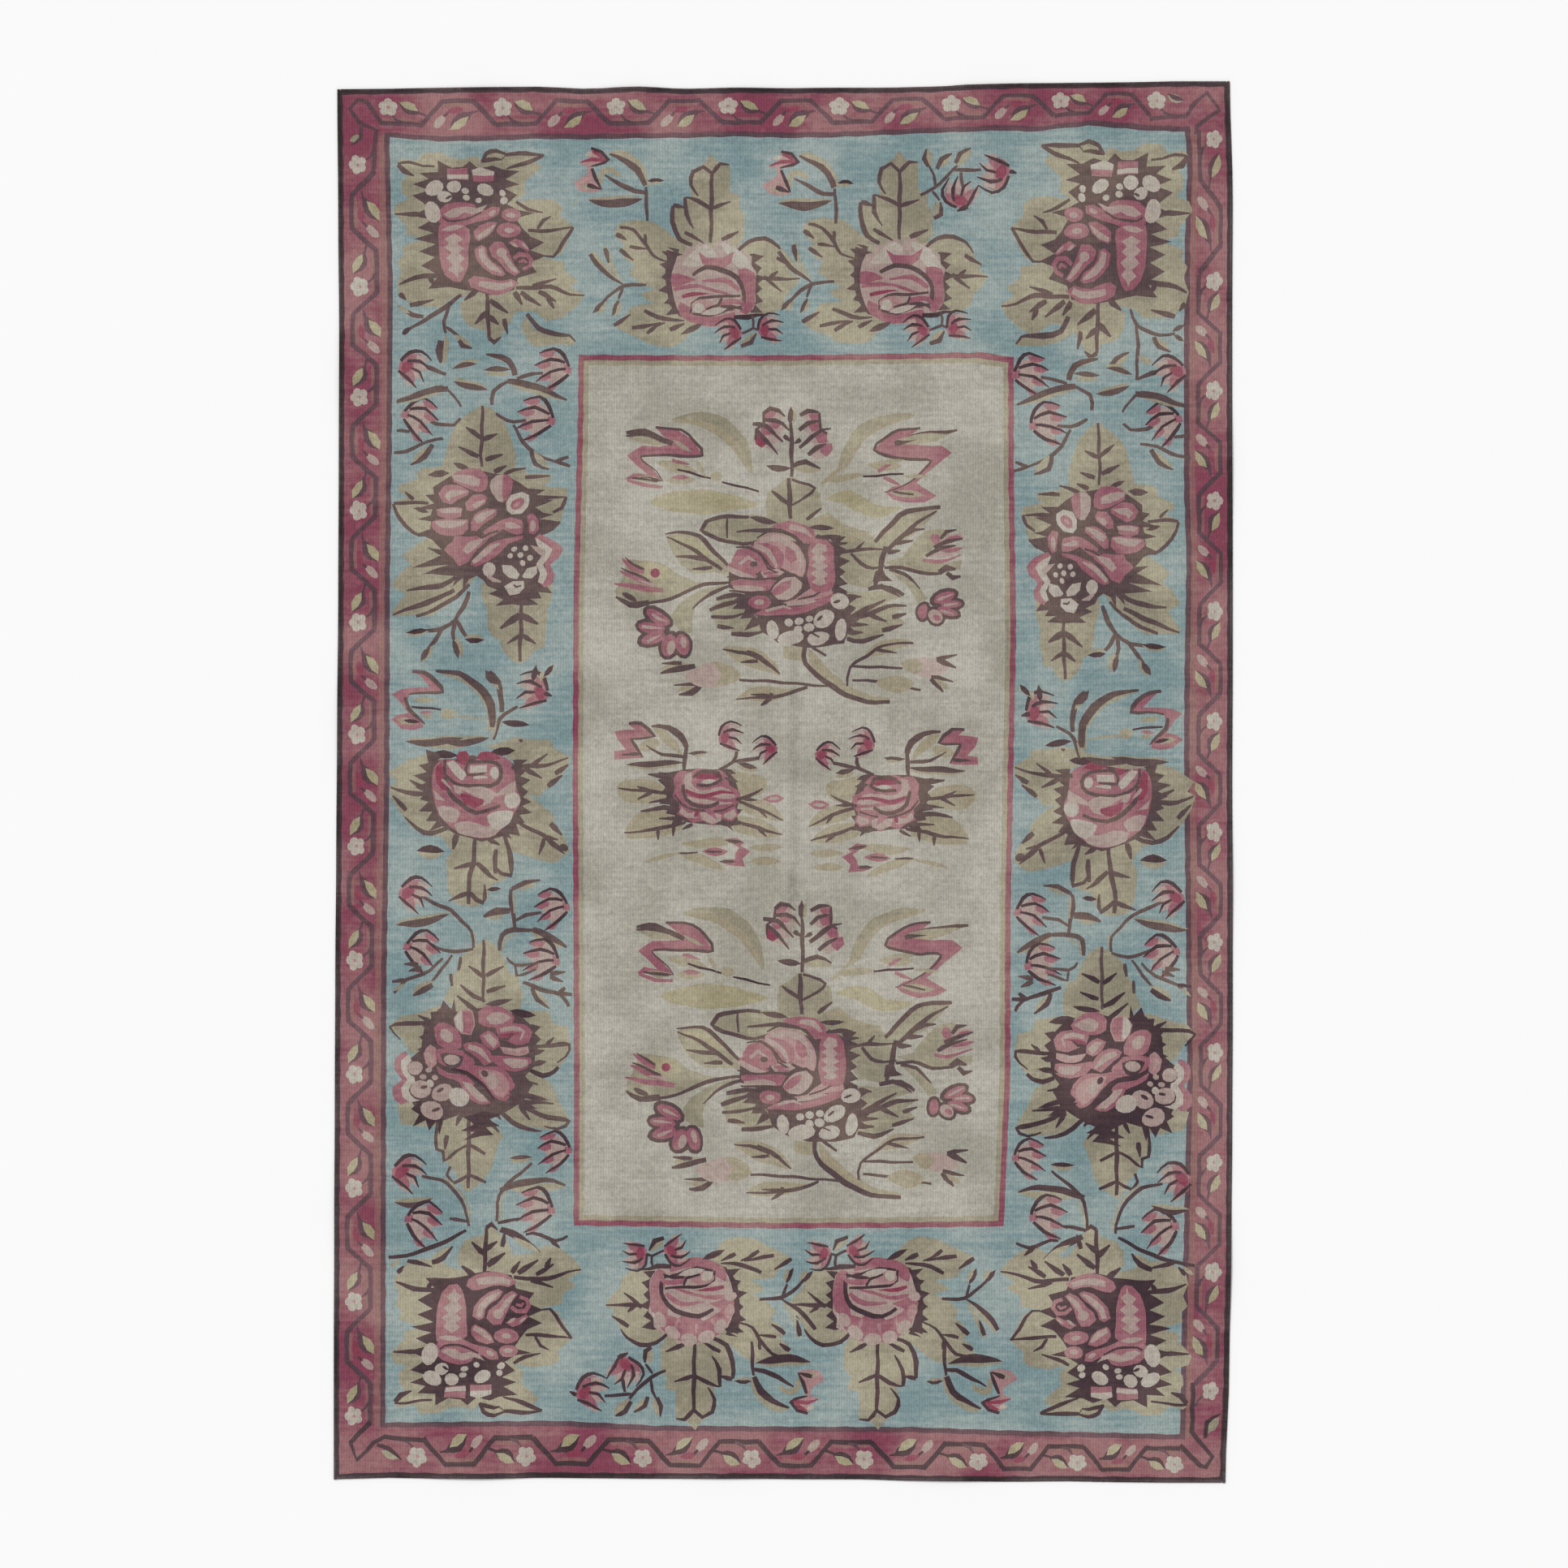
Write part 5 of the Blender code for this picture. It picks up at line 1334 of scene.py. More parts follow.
soft sand : 23.6,24 27,25 28.4,23.6 26.6,21.6
vein brown .91 : 30.8,24.9 35.2,25.6 / 29.9,21.3 34.4,20.3
vein brown 1.26 : 31,24.8 34.8,23 / 29.8,20.9 32.2,18.2
leaf sand 1.2 : 30.4,20.8 33.8,18.6
line brown .9 : -31.8,70.5 -27.9,70.9 -24.7,69.4
leaf khaki 1 : -31.4,69.6 -24.9,68.8
leaf khaki .9 : -22.4,69 -18.3,66.6
leaf khaki 1 : -29.6,61.2 -25.6,60.5
line brown .5 : -30.4,61.4 -25.4,60.7
leaf khaki 1.2 : 22.8,69.1 33.8,70.2
leaf sand 1 : -17.6,65.2 -15.6,61.4
leaf khaki 1 : 18.2,64.4 24.6,64.9
leaf khaki .8 : 24,61.8 29.4,61.6
"""

# %% Small rose with sprays
SMALL_ROSE = """
soft sand : -33.6,-1 -31,.5 -26,.2 -23,-2.6 -26,-4.2 -32,-4
soft sand : -32,-9.6 -29,-6.2 -24,-4.8 -20,-7 -21,-9.8 -27,-11.4 -31.6,-11.2
soft sand : -11,2.2 -6,1.6 -3.4,.6 -4,-2 -8,-3 / -9.4,-4 -5,-3.4 -1.6,-5 .2,-7.6 -4,-7.4 -8,-6 /
    -10.4,-7 -5,-7.4 -1.6,-9.2 -.3,-10.9 -6,-11 -10,-9.6
leaf sand 2 .5 : -9.2,-11.4 -20.6,-12.4
leaf sand 1.7 : -7,-13.2 .2,-13.2 / -7,-16 -.4,-16
leaf sand 2 .4 : -21,-14.6 -11.4,-17.8
leaf sand .9 : -20.4,-14.2 -28.4,-16.2
soft sand : -26.4,11 -23.5,10.2 -21.2,7.4 -20.4,5.4 -23,7 -25.2,9
leaf sand 1.3 : -31.6,3.1 -20.4,3.4
oval sand 2.2 1.2 20 : -27,7.4
area brown : -23.6,1.8 -20,2.6 -11.6,2.6 -9.8,.6 -8.6,-3 -9.6,-6.4 -8.6,-8.6 -12,-8.8 -19.6,-8.2
    -22.2,-5 -24,-2.2
teeth brown 2.4 1.9 : -20.4,-8 -22.6,-4.6 -23.4,-1 -23,1.8
teeth brown 1.8 1.7 : -10.4,-5.4 -9.8,-7.2 -11.4,-9
vein brown 1.03 : -23,1 -25,1.2 -27.2,1.6
soft rose : -22.2,.8 -21,2.4 -18.6,2 -17,2.7 -14.6,2.2 -12.6,2.5 -11.2,1 -10.8,-.6 -8.8,-1.8 -8.4,-3.6
    -9.8,-4.8 -9,-6.6 -10.2,-8 -12.4,-7.6 -14.2,-8.8 -16.2,-7.8 -18.2,-8.4 -19.6,-7.2 -21.4,-6.4
    -21,-4.4 -22.4,-3 -21.8,-1.2
soft pale : -20.6,-5 -19.2,-6.3 -17.6,-6 -17.4,-7.4 -19.4,-7.2 -21,-6.1
soft pale : -17,-6.4 -14.6,-6 -12.4,-6.6 -12.6,-7.9 -14.3,-8.4 -16.4,-7.7
soft pale : -11.8,-6.4 -9.8,-5.5 -9.4,-6.7 -10.4,-7.7 -12,-7.2
line brown .5 : -22,-2.6 -20.6,-4.4 -18,-5.6 -15,-5.9 -12,-5.6 -10,-4.7
soft rose : -16.4,-5.2 -14,-5.6 -13.4,-7.6 -15,-6.6
soft pale : -19.8,1.6 -18.4,1.9 -18.6,-.4 -16.4,-1.6 -12.4,-1 -10.8,-1.4 -9.6,-3 -12.4,-3.4 -16,-2.6
    -19.8,-1.4
soft crimson : -17.6,2 -15,2.4 -12.8,1.8 -13,.8 -15.4,.6 -17.6,.6
vein crimson .9 : -19.6,-1.8 -16,-2.9 -12.4,-2 -9.8,-2.2
vein pale .9 : -20,-3 -17,-3.8 -14,-4.2 -10.4,-4.2
line brown .78 : -18.3,.8 -16.5,2.1 -13.2,1.9 -12.4,.4 -15,-.7 -17.6,-.5
leaf white 1 : -16.8,0 -13.4,.3
line brown .91 : -20.2,-.6 -19.6,-3.4 -17,-5 -14.5,-4.9 -13,-4
oval crimson .4 .8 -20 : -17.6,-6.5
vein brown .78 : -23.6,-2.2 -29,-1.7 -33.2,-1.3 / -26.8,-2 -29.6,-.8 / -26.6,-2.2 -29.4,-3.6 /
    -22.8,-3.4 -27,-4.1
vein brown 1.04 : -21,-5.7 -24,-5.2 -28.9,-5.9
vein brown .78 : -20.8,-7.2 -25.2,-7.5 / -19.6,-8.2 -23.6,-9 -27,-9.8 -32.2,-10.2 / -25.2,-9.6
    -25.2,-11.6 / -22.2,-8.6 -22.2,-11 / -18.2,-8.6 -20.5,-9.7
vein brown .78 : -9.6,-3.6 -7,-3 -4.2,-1.3 / -8,-3.5 -5.2,-3.6 / -9,-4 -5,-5.4 .1,-7.7 / -4.8,-5.5
    -3.3,-7.3 / -9,-8 -5,-9.3 -.2,-10.7 / -5,-9.4 -3.3,-10.9
leaf brown 1.1 : -12.8,2.5 -9.5,1.6
leaf brown 1 : -12,.7 -9,.1
leaf brown 1.1 : -13.2,-8.6 -9.2,-8.4
leaf rose 1.9 : -4.2,-3.4 .3,-3.4
leaf pale .8 : -3.2,-3.4 -.8,-3.4
line brown .78 : -13,2.6 -10,4 -9.5,6.4 -10.6,8 / -10,4 -6,4.7 -3.4,5.4
leaf sand 1.2 : -9.4,3.2 -5,2.2
leaf brown 1.1 : -9.2,3.8 -5.1,2.8
bud .78 10 : -12.8,8.2
bud .72 190 : -1.4,6.4
line brown .91 : -20,2.4 -19.8,5 -19.5,8
vein brown 1.49 : -19.6,7 -20.6,9.2 -23,10.9 -26.6,11.3
leaf brown 1 : -19.4,5.8 -15,6
leaf sand .6 : -18.6,5.3 -15.4,5.6
vein brown .78 : -19.9,5.1 -24.4,5.6 -27.6,7.3
leaf brown 1.3 : -19.8,4 -31.8,3.4
area rose : -31.2,11.6 -29,12.1 -27,10.7 -26,9 -30.6,8.8 -28.4,4.8 -34,4.6 -34,6.2 -31.8,6.6 -33.6,8.6
    -34,10.2 -30,10.6
vein brown .78 : -31.2,11.7 -28.8,11.9 -27.2,10.6 -26,9.1 -30.8,8.7 / -30.6,8.6 -28.4,4.9
vein brown .78 : -29,5.6 -32.4,5.6
area rose : -11.6,-11.4 -9.4,-11.2 -7.8,-12.4 -8.6,-12.9 -6.6,-14 -8.2,-15.4 -7.8,-17 -11,-16.9 -13,-16
    -9.8,-15.6 -9.6,-14.4 -8.8,-13.4
leaf brown .8 : -11.8,-11.6 -8,-12.3
leaf brown .8 : -13,-16 -9.4,-16.2
leaf rose 1.7 : -16.4,-14.1 -11,-14
line brown .45 : -15.6,-14.1 -12.4,-14 / -21,-14.3 -17.2,-14.3
"""

# %% [markdown]
# ## The border
#
# A vine winds round all four sides with a white flower at each bend. Its chart is for one bend: across
# from flower to flower, and down from the outer edge to the brown inner line, which is ten units deep.
# The bends are stretched a little to fit between the flowers, which the weaver spaced by eye.

# %% One bend of the vine, its flower, and the loops in the corners
BEND_LENGTH = 22.6
BORDER_UNIT = """
stroke soft_madder .7 : -1,-6.7 6.3,-6.7
stroke soft_madder .7 : 11,-3.5 16.4,-3.5
stroke walnut 1 : -1.4,-7.45 6.6,-7.45 10.7,-2.7 16.8,-2.7 21.3,-7.45
leaf walnut 2.3 -.35 : 2.2,-3 6.6,-5.2
leaf gold 1.7 .2 : 2.3,-2.9 6.1,-4.8
stroke walnut .5 : 6,-5.1 7.8,-5.6
oval pale 1.6 .85 48 : 10.2,-6.8
vein walnut .6 : 11,-5.8 12.8,-4
leaf crimson 1.4 : 11.6,-4.9 15,-4.2
leaf walnut 2.4 .45 : 12.2,-8.1 16.8,-5
leaf gold 1.8 -.2 : 12.2,-8.2 15.9,-5.7
vein walnut .8 : 15.2,-5.3 17.8,-4.8
"""
BORDER_FLOWER = """
vein walnut .7 : 3.2,-7.3 1.8,-6.8 .8,-5.6
oval white .92 .86 : 0,-3 1.05,-3.7 .7,-4.9 -.7,-4.9 -1.05,-3.7
oval white .9 .9 : 0,-4.1
oval pink .38 .38 : 0,-4.1
"""
CORNER_LOOPS = """
stroke walnut .9 : -82.7,122.7 -82.2,131.6 -85.5,133 -87.5,135.8 -85.8,137.6 -84.2,137.5 -80.9,132.8
leaf khaki 1.7 : -87.6,129.3 -84.9,130.2
vein walnut .8 : -85.3,132.2 -85.2,129.8 -87.4,128.4
stroke walnut .9 : 74,133.9 81.3,134.4 82.9,136.9 85.5,139.2 88,135.6 83.5,132.3 83.4,130.6
leaf khaki 1.9 : 80.8,137.2 77.6,138.6
leaf walnut 1.1 .2 : 81.2,137.4 77.6,139
stroke dark .95 : 82.7,-121.3 82.5,-131.2 86.6,-136.2 85.3,-138.2 84.2,-138 80,-133.9
leaf khaki 1.9 : 85.6,-131.4 88,-128
vein dark .9 : 85.2,-132.4 85.5,-129.2 88.3,-127.4
stroke dark .95 : -83.3,-129.2 -87.4,-133.4 -86,-136.8 -82.6,-133.4 -80.5,-132.2 -72.4,-132.9
leaf khaki 1.7 : -81.2,-135 -77.2,-136.6
vein dark .9 : -81.9,-133.9 -79.3,-134.6 -76.9,-136.9
"""
FLOWERS_ALONG = {
    "upper": (-79.8, -56.6, -33.7, -11.1, 11.3, 33.9, 56, 75.3),
    "right": (129.7, 101, 79, 56.7, 34.5, 12.2, -10.1, -32.4, -54.6, -76.9, -98.9, -122.9),
    "lower": (78.9, 59.4, 39.4, 16.4, -6.4, -28.4, -51.9, -73.9),
    "left": (-127.9, -104.9, -81.9, -59, -36, -13, 9.6, 32.2, 54.8, 77.6, 100, 124.6),
}

# %% The lines between the fields
INNER_LINE = {
    "upper": "-80,130.6 -70,129.8 -60,129.9 -50,130.3 -40,130.2 -30,130.4 -20,130.5 -10,130.8 0,130.5"
    " 10,130.6 28,131.4 45,132 50,131.7 62,133 75,131.9 81.6,131.8",
    "right": "81.6,131.8 82.1,125 81.6,110 81.4,90 81.4,60 81.9,45 81.5,20 81.4,0 81.7,-20 81.9,-40"
    " 82.1,-60 81.8,-73 80.9,-113 80.6,-132.2",
    "lower": "80.6,-132.2 46,-131.4 26,-130.7 -1,-130.6 -26,-130.4 -46,-129.4 -80.8,-129.8",
    "left": "-80.8,-129.8 -80.7,-80 -80.6,-40 -80,0 -79.9,40 -79.5,70 -79.3,100 -80,130.6",
}
INNER_LINE_WIDTH = 1.05
FRAME_LINE = places(
    "-41.3,86.2 -20,86.1 0,86.1 40,86.7 46.5,85.7 46.6,60 47,30 46.4,0 45.9,-25 45.8,-60 44.5,-89.7"
    " 20,-90 0,-90.1 -20,-89.8 -42.3,-89.5 -42.2,-60 -42.5,0 -42.3,40 -41.4,75"
)
FRAME_MADDER_WIDTH = 1.1
FRAME_KHAKI_WIDTH = 1.0
SIDE_STRIP_WIDTH = 1.2
RIM_WIDTH = 0.45


def outline(inside, steps=60):
    """The kilim's outline in centimetres, moved in, anticlockwise from its lower left corner."""
    line = []
    for edge, backwards in (("lower", False), ("right", False), ("upper", True), ("left", True)):
        for index in range(steps):
            share = 1 - index / steps if backwards else index / steps
            x, y = edge_point(edge, share, inside / 100)
            line.append((100 * x, 100 * y))
    return line


def grown(points, by, half=(80.0, 130.0), middle=(0.0, 0.0)):
    """A rectangle with uneven sides, each side moved out."""
    return [tuple((p - m) * (1 + by / h) + m for p, h, m in zip(point, half, middle)) for point in points]


def crossing(points, axis, along):
    """Where a line passes a place: its other coordinate there."""
    ordered = sorted(points, key=lambda point: point[axis])
    for a, b in zip(ordered, ordered[1:]):
        if along <= b[axis]:
            share = max(0.0, (along - a[axis]) / ((b[axis] - a[axis]) or 1.0))
            return a[1 - axis] + (b[1 - axis] - a[1 - axis]) * share
    return ordered[-1][1 - axis]


def border_place(side, along, depth):
    """A place in the border: depth 0 at the edge and 10 at the inner line."""
    upright = side in ("left", "right")
    half = (KILIM_LENGTH if upright else KILIM_WIDTH) / 2
    rim = 100 * edge_point(side, (along / 100 + half) / (2 * half), 0.0)[0 if upright else 1]
    inner = crossing(places(INNER_LINE[side]), 1 if upright else 0, along)
    across = rim + (inner - rim) * depth / 10
    return (across, along) if upright else (along, across)


# %% [markdown]
# ## Putting the picture together
#
# First the grounds, from the dark rim in to the ivory field, then the border, then every motif where it
# belongs. A placement is a scale and a shift each way, and a scale of minus one mirrors.

# %% Grounds and border
inner_line = [place for side in INNER_LINE for place in places(INNER_LINE[side])[:-1]]
frame_middle = (2.0, -2.0)
frame_half = (44.0, 88.0)
picture = [("black", outline(60 * EDGING_WIDTH)), ("madder", outline(100 * EDGING_WIDTH + RIM_WIDTH))]
for side, outward in (("left", -1), ("right", 1)):
    line = places(INNER_LINE[side])
    strip = [(x + outward * (SIDE_STRIP_WIDTH + INNER_LINE_WIDTH / 2), y) for x, y in line] + line[::-1]
    picture.append(("soft_madder", strip))
picture += [
    ("walnut", grown(inner_line, INNER_LINE_WIDTH / 2)),
    ("blue", grown(inner_line, -INNER_LINE_WIDTH / 2)),
    ("madder", FRAME_LINE),
    ("khaki", grown(FRAME_LINE, -FRAME_MADDER_WIDTH, frame_half, frame_middle)),
    ("ivory", grown(FRAME_LINE, -FRAME_MADDER_WIDTH - FRAME_KHAKI_WIDTH, frame_half, frame_middle)),
]
bend = read_chart(BORDER_UNIT)
flower = read_chart(BORDER_FLOWER)
for side, flowers in FLOWERS_ALONG.items():
    way = 1 if side in ("upper", "left") else -1
    for number, start in enumerate(flowers):
        if number + 1 < len(flowers):
            stretch = way * abs(flowers[number + 1] - start) / BEND_LENGTH
            for yarn, shape in bend:
                darker = "dark" if (side, yarn) == ("lower", "walnut") else yarn
                picture.append((darker, [border_place(side, start + stretch * x, -y) for x, y in shape]))
        for yarn, shape in flower:
            picture.append((yarn, [border_place(side, start + way * x, -y) for x, y in shape]))
picture += read_chart(CORNER_LOOPS)
print(len(picture), "shapes in the grounds and the border")

# %% Placing the motifs
# Each row: the chart, the scale and shift across, and the scale and shift along, in centimetres
LAYOUT = (
    (CORNER, 1, 0, 1, 0),
    (CORNER, 1, -0.5, -1, -0.4),
    (CORNER, -1, 3.8, 1.13, -14.74),
    (CORNER, -1, 3.7, -1, -0.8),
    (TWIG, 1, 0, 1, 0),
    (COMMA, 1, 0, 1, 0),
    (TOP_RIGHT_TWIG, 1, 0, 1, 0),
    (BAND_ROSE, 1, 0, 1, 0),
    (BAND_ROSE, 1, 38, 1, 0.5),
    (BAND_ROSE, -1, 4.5, -1, -4),
    (BAND_ROSE, -1, -32.5, -1, -4),
    (FRINGE, 1, 0, 1, 0),
    (FRINGE, 1, 37, 1, 0),
    (TULIP_SPRAY, 1, 0, 1, 0),
    (TULIP_SPRAY, 1, 38.2, 1, -0.5),
    (TULIP_SPRAY, -1, 5, -1, 0.4),
    (TULIP_SPRAY, -1, -33.8, -1, 0.4),
    (BUD_SPRAY, 1, 0, 1, 0),
    (BUD_SPRAY, -1, 3.9, -1, -0.2),
    (SIDE_BOUQUET, 1, 0, 1, 0),
    (UPPER_BOUQUET, -0.9, 9.0, 1, -3.6),
    (SIDE_BOUQUET, -1, 3.8, 1, -1.4),
    (UPPER_BOUQUET, 1, 0, 1, 0),
    (SIDE_ROSE, 1, 0, 1, 0),
    (SIDE_ROSE, -1, 3.5, 1, -1.9),
    (SIDE_TULIP, 1, 0, 1, 0),
    (SIDE_TULIP, -1, 1.5, 1, -4),
    (SPRIG, 1, 0, 1, 0),
    (SPRIG, -1, 1, 1, -3),
    (BUD_BRANCHES, 1, 0, 1, 0),
    (BUD_BRANCHES, -1, 3.5, 1, -1),
    (BRANCHES_HIGH, 1, 0, 1, 0),
    (BRANCHES_HIGH, -1, 3.5, 1, -1),
    (BRANCHES_LOW, 1, 0, 1, 0),
    (BRANCHES_LOW, -1, 3.5, 1, -1.5),
    (BIG_BOUQUET, 1, 0, 1, 0),
    (BIG_BOUQUET, 1, 2.2, 1, -99.8),
    (SMALL_ROSE, 1, 0, 1, 0),
    (SMALL_ROSE, -1, 5.3, 1, -1.2),
)
# Where the weaver's second and darker lot of brown wool begins
SECOND_LOT = {"below": -88, "right_of": 44}
charts_read = {}
for chart, scale_x, shift_x, scale_y, shift_y in LAYOUT:
    if chart not in charts_read:
        charts_read[chart] = read_chart(chart)
    for yarn, shape in charts_read[chart]:
        placed = [(scale_x * x + shift_x, scale_y * y + shift_y) for x, y in shape]
        x, y = placed[0]
        if yarn == "brown" and (y < SECOND_LOT["below"] or (x > SECOND_LOT["right_of"] and y < -40)):
            yarn = "dark"
        picture.append((yarn, placed))
print(len(picture), "shapes with", sum(len(shape) for yarn, shape in picture), "corners")

# %% [markdown]
# ## Weaving the cloth
#
# All outlines go into one triangulation of the plane, which cuts them where they cross. Each triangle
# belongs to the last shape drawn over it, and takes that yarn. A grid of extra corners lets the cloth
# bend over its crease and ripples. The two faces are this plane and its copy one cloth thickness up,
# closed round the edge: in this weave both faces show the same picture.

# %% Hand-woven unevenness
UNEVEN = 0.1
CUT_LENGTH = 2.6


def uneven(shape):
    """The shape as a hand loom leaves it: a little out of true, and its long sides not quite straight."""
    result = []
    for (ax, ay), (bx, by) in zip(shape, shape[1:] + shape[:1]):
        cuts = max(1, round(math.dist((ax, ay), (bx, by)) / CUT_LENGTH))
        for k in range(cuts):
            x, y = ax + (bx - ax) * k / cuts, ay + (by - ay) * k / cuts
            x_shift = UNEVEN * math.sin(1.1 * y + 0.6 * x)
            result.append((x + x_shift, y + UNEVEN * math.sin(0.9 * x - 0.7 * y)))
    return result


woven = picture[:1] + [(yarn, uneven(shape)) for yarn, shape in picture[1:]]
print(sum(len(shape) for yarn, shape in woven), "corners in all")

# %% Cutting the plane into yarns
GRID_PITCH = 5.7
CREASE_COLUMNS = (-4.2, -2.1, 0.0, 2.1, 4.2)
corners, loops = [], []
for yarn, shape in woven:
    area = sum(a[0] * b[1] - b[0] * a[1] for a, b in zip(shape, shape[1:] + shape[:1]))
    loops.append(list(range(len(corners), len(corners) + len(shape))))
    corners += [Vector(point) for point in (shape if area > 0 else reversed(shape))]
for row in range(-26, 27):
    for column in range(-17, 17):
        corners.append(Vector((GRID_PITCH * (column + 0.5 * (row % 2)), GRID_PITCH * row)))
    for beside in CREASE_COLUMNS:
        corners.append(Vector((100 * CREASE["x"] + beside, GRID_PITCH * (row + 0.3))))
flat, _, triangles, _, _, shapes_over = delaunay_2d_cdt(corners, [], loops, 1, 0.002, True)
kept = [(corner, max(over)) for corner, over in zip(triangles, shapes_over) if 0 in over]
print(len(flat), "corners and", len(kept), "triangles a side")

# %% Both faces and the edge between them
used = sorted({index for triangle, _ in kept for index in triangle})
number = {index: place for place, index in enumerate(used)}
lower, upper = [], []
for index in used:
    x, y = flat[index] / 100
    lower.append((x, y, lift(x, y)))
    upper.append((x, y, lift(x, y) + CLOTH_THICKNESS))
faces, slots = [], []
sides = {}
for triangle, last in kept:
    a, b, c = (number[index] for index in triangle)
    yarn = yarns.index(picture[last][0])
    faces += [(a + len(used), b + len(used), c + len(used)), (c, b, a)]
    slots += [yarn, yarn]
    for start, end in ((a, b), (b, c), (c, a)):
        sides[(start, end)] = yarn
for (start, end), yarn in sides.items():
    if (end, start) not in sides:
        faces.append((start, end, end + len(used), start + len(used)))
        slots.append(yarn)
mesh = bpy.data.meshes.new("woven_cloth")
mesh.from_pydata(lower + upper, [], faces)
for yarn in yarns:
    mesh.materials.append(materials[yarn])
mesh.polygons.foreach_set("material_index", slots)
mesh.polygons.foreach_set("use_smooth", [True] * len(faces))

# %% A flat map of the cloth, its upper face in one half and its underside in the other
layer = mesh.uv_layers.new(name="OFBake")
for polygon in mesh.polygons:
    shift = 0.5 if polygon.normal.z < 0 else 0.0
    for loop in polygon.loop_indices:
        spot = mesh.vertices[mesh.loops[loop].vertex_index].co
        u = 0.01 + 0.48 * (spot.x / KILIM_WIDTH + 0.5) + shift
        layer.data[loop].uv = (u, 0.01 + 0.98 * (spot.y / KILIM_LENGTH + 0.5))
cloth = bpy.data.objects.new("woven_cloth", mesh)
bpy.context.scene.collection.objects.link(cloth)
triangle_count = sum(len(face) - 2 for face in faces)
print("the cloth has", triangle_count, "triangles")

# %% [markdown]
# ## The overcast edges
#
# The rim is whipped: dark wool is wound round the outermost warps, and round a cord at the ends, and
# every wrap stands out as a small slanted ridge. Each of the four is a tube that follows the uneven edge
# and swells once a wrap. The wraps are about 2 mm apart on the real rug. Here they are 3.6 mm, because
# finer ones wouldn't show and would cost four times the corners.

# %% Winding the edges
WRAP_PITCH = 0.0036
WRAP_SLANT = 0.35
WRAP_STEPS = 4
FACETS = 8
EDGE_STEPS = 46


def crowded(share):
    """Draws the stations together towards the crease, as in the solid."""
    return share + CREASE_CROWDING * math.sin(2 * math.pi * share) / (2 * math.pi)


def edge_line(edge):
    """The middle of the overcast edge in plan, end to end."""
    half = EDGING_WIDTH / 2
    line = []
    for index in range(EDGE_STEPS + 1):
        share = index / EDGE_STEPS
        if edge in ("left", "right"):
            x, y = edge_point(edge, share, half)
            y += half * (2 * share - 1)
        else:
            x, y = edge_point(edge, crowded(share), half)
            x -= (half + EDGING_GAP) * (2 * share - 1)
        line.append((x, y))
    return line


def resampled(line, step):
    """The same line with its points an even step apart."""
    result = [line[0]]
    left = step
    for a, b in zip(line, line[1:]):
        run = math.dist(a, b)
        while left <= run:
            result.append((a[0] + (b[0] - a[0]) * left / run, a[1] + (b[1] - a[1]) * left / run))
            left += step
        left -= run
    return result


def wound_edge(edge, material):
    line = resampled(edge_line(edge), WRAP_PITCH / WRAP_STEPS)
    points = []
    for i, ((x, y), (nx, ny)) in enumerate(zip(line, normals(line))):
        base = lift(x, y) + EDGING_HEIGHT / 2
        for facet in range(FACETS):
            turn = 2 * math.pi * (facet + 0.5) / FACETS
            wrap = i / WRAP_STEPS + WRAP_SLANT * math.cos(turn)
            uneven = 0.05 * math.sin(0.37 * i) * math.sin(0.11 * i + 1.3)
            swell = 0.84 + 0.14 * abs(math.sin(math.pi * wrap)) + uneven * 0.4
            across = EDGING_WIDTH / 2 * swell * math.cos(turn)
            up = EDGING_HEIGHT / 2 * swell * math.sin(turn)
            points.append((x + nx * across, y + ny * across, base + up))
    rings = len(line)
    faces = []
    for i in range(rings - 1):
        for facet in range(FACETS):
            other = (facet + 1) % FACETS
            here, there = i * FACETS, (i + 1) * FACETS
            faces.append((here + facet, there + facet, there + other, here + other))
    faces.append(tuple(range(FACETS)))
    faces.append(tuple(range(rings * FACETS - 1, (rings - 1) * FACETS - 1, -1)))
    mesh = bpy.data.meshes.new("wound_" + edge)
    mesh.from_pydata(points, [], faces)
    mesh.materials.append(material)
    mesh.polygons.foreach_set("use_smooth", [True] * len(faces))
    piece = bpy.data.objects.new("wound_" + edge + "_edge", mesh)
    bpy.context.scene.collection.objects.link(piece)
    return piece


edge_wool = wool("edging_wool", "#352b2d", "#574a4b", heather=0.5, ribs=0.0)
edges = {edge: wound_edge(edge, edge_wool) for edge in ("left", "right", "lower", "upper")}
print({edge: len(piece.data.polygons) for edge, piece in edges.items()})

# %% [markdown]
# ## Floor, light and camera
#
# The kilim was laid on a white floor and taken from straight above, so the camera looks down from far
# up with a long lens. A bright room gives most of the light, and one wide soft lamp from the upper left
# adds the faint shading of the folds.

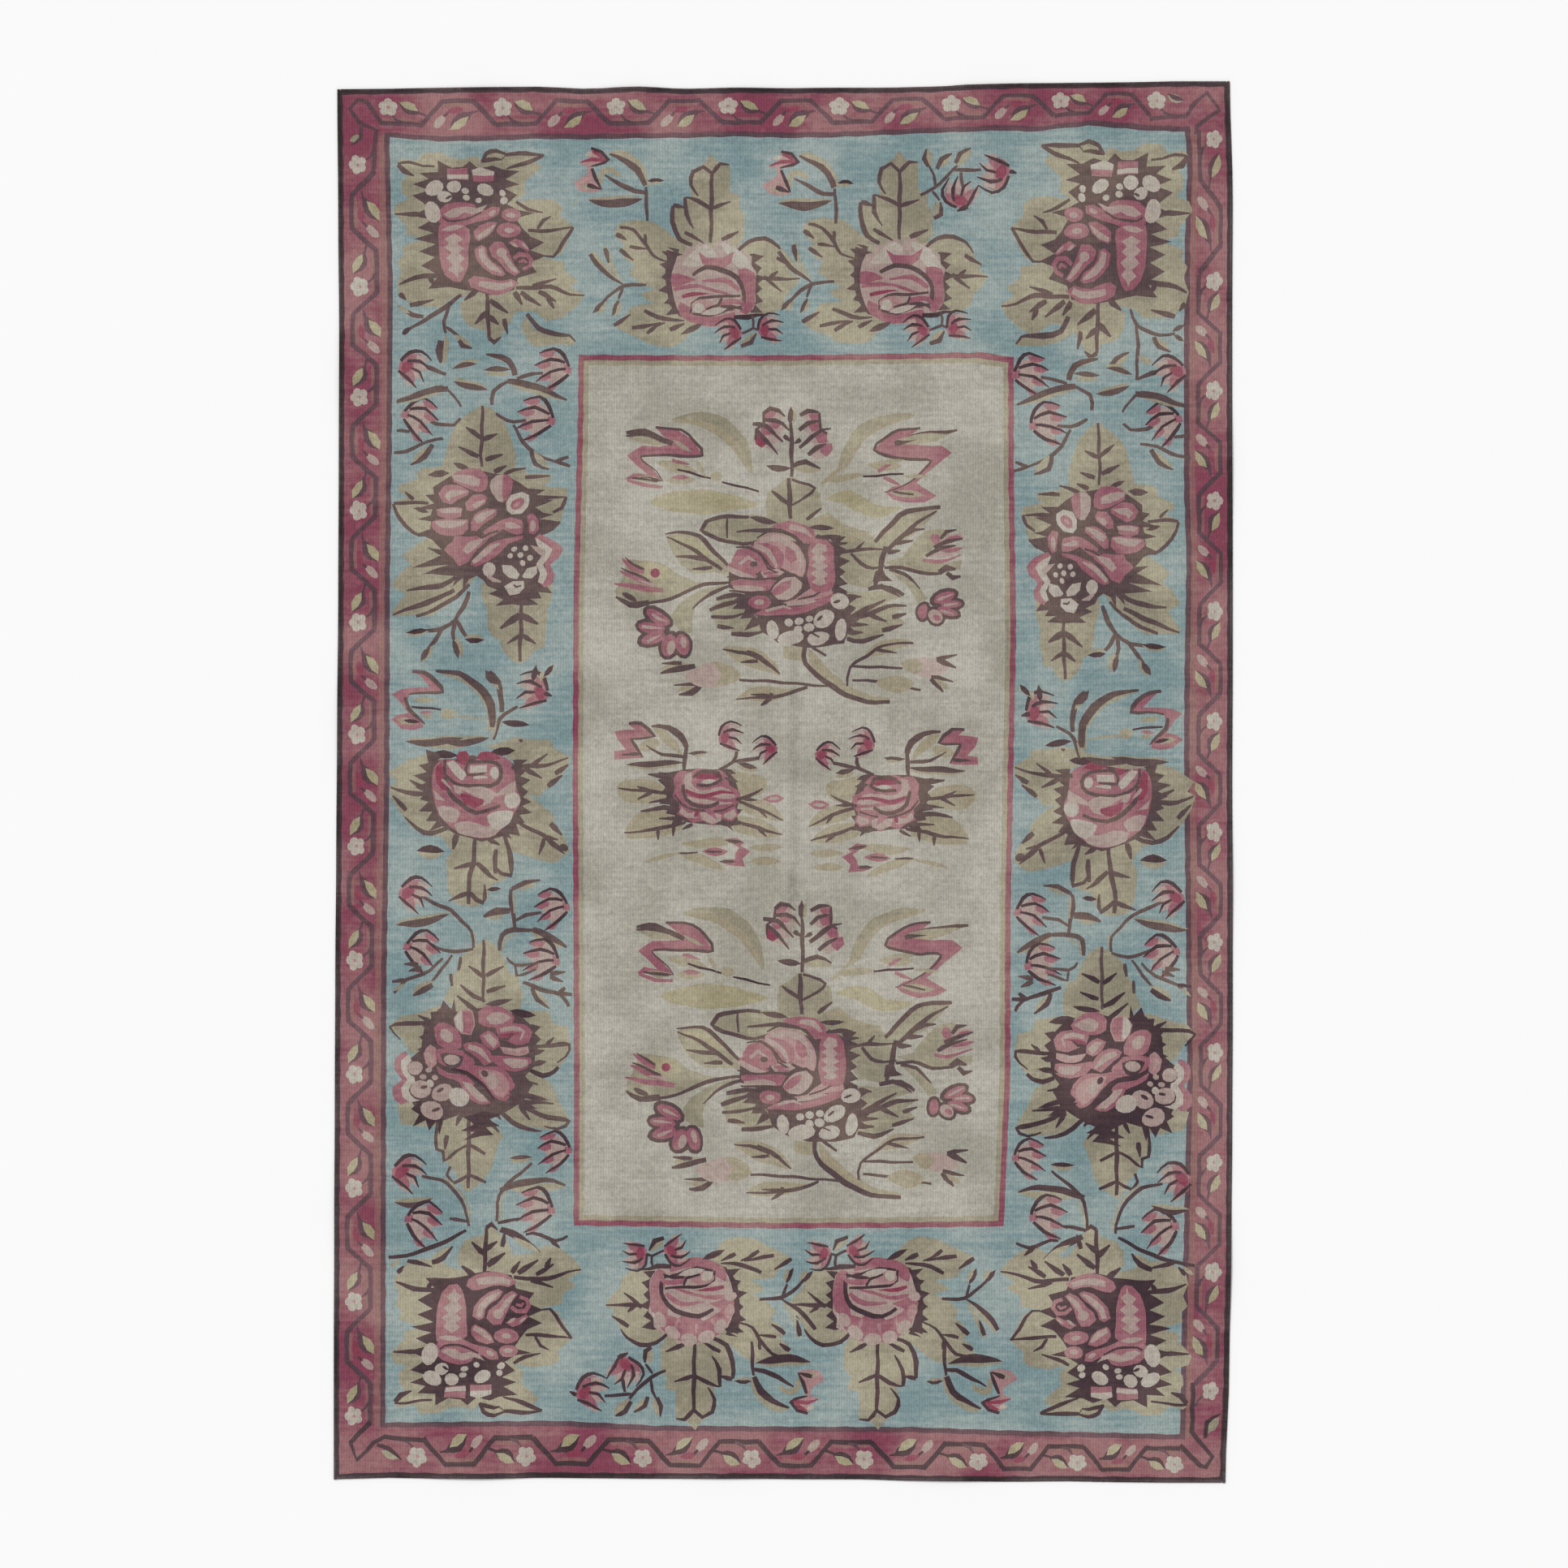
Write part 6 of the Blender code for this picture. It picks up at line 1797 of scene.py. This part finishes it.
# %% Floor and light
floor_mesh = bpy.data.meshes.new("floor")
floor_corners = [(x, y, -0.0003) for x, y in ((-12, -12), (12, -12), (12, 12), (-12, 12))]
floor_mesh.from_pydata(floor_corners, [], [(0, 1, 2, 3)])
floor = bpy.data.objects.new("floor", floor_mesh)
bpy.context.scene.collection.objects.link(floor)
floor_paint = bpy.data.materials.new("floor_paint")
floor_paint.use_nodes = True
paint = floor_paint.node_tree.nodes["Principled BSDF"]
paint.inputs["Base Color"].default_value = linear("#fafafa")
paint.inputs["Roughness"].default_value = 0.9
paint.inputs["Specular IOR Level"].default_value = 0.0
floor_mesh.materials.append(floor_paint)
ROOM_SHARE = 0.62
SUN_HEIGHT = math.radians(50)
world = bpy.data.worlds.new("room")
world.use_nodes = True
world.node_tree.nodes["Background"].inputs["Color"].default_value = (1.0, 1.0, 1.0, 1.0)
world.node_tree.nodes["Background"].inputs["Strength"].default_value = ROOM_SHARE
bpy.context.scene.world = world
lamp = bpy.data.lights.new("soft_lamp", "SUN")
lamp.energy = math.pi * (1 - ROOM_SHARE) / math.sin(SUN_HEIGHT)
lamp.angle = math.radians(18)
lamp_object = bpy.data.objects.new("soft_lamp", lamp)
lamp_way = Vector((0.55, -0.65, -math.tan(SUN_HEIGHT) * 0.85))
lamp_object.rotation_euler = lamp_way.to_track_quat("-Z", "Y").to_euler()
bpy.context.scene.collection.objects.link(lamp_object)

# %% Camera
CAMERA_HEIGHT = 9.0
VIEW_WIDTH = 3.165
camera_data = bpy.data.cameras.new("camera")
camera_data.sensor_width = 36.0
camera_data.lens = 36.0 * CAMERA_HEIGHT / VIEW_WIDTH
camera_data.clip_end = 100.0
camera = bpy.data.objects.new("camera", camera_data)
camera.location = (0.0016, -0.0041, CAMERA_HEIGHT)
bpy.context.scene.collection.objects.link(camera)
bpy.context.scene.camera = camera
bpy.context.scene.view_settings.view_transform = "Standard"
print("lens", round(camera_data.lens, 1), "mm")

# %% [markdown]
# ## What each piece stands for
#
# The woven cloth takes the place of the solid cloth, and each wound edge of its cord. All hang from the
# root body, and the solid parts are hidden.

for piece, node, slot in [(cloth, "cloth", "tapestry_wool")] + [
    (edges[edge], edge + "_edging", "edging_wool") for edge in edges
]:
    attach(piece, "root")
    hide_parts(node)
floor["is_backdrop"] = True

bounds_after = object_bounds()
for moment, bounds in (("before", bounds_before), ("after", bounds_after)):
    [list(corner) for corner in bounds]
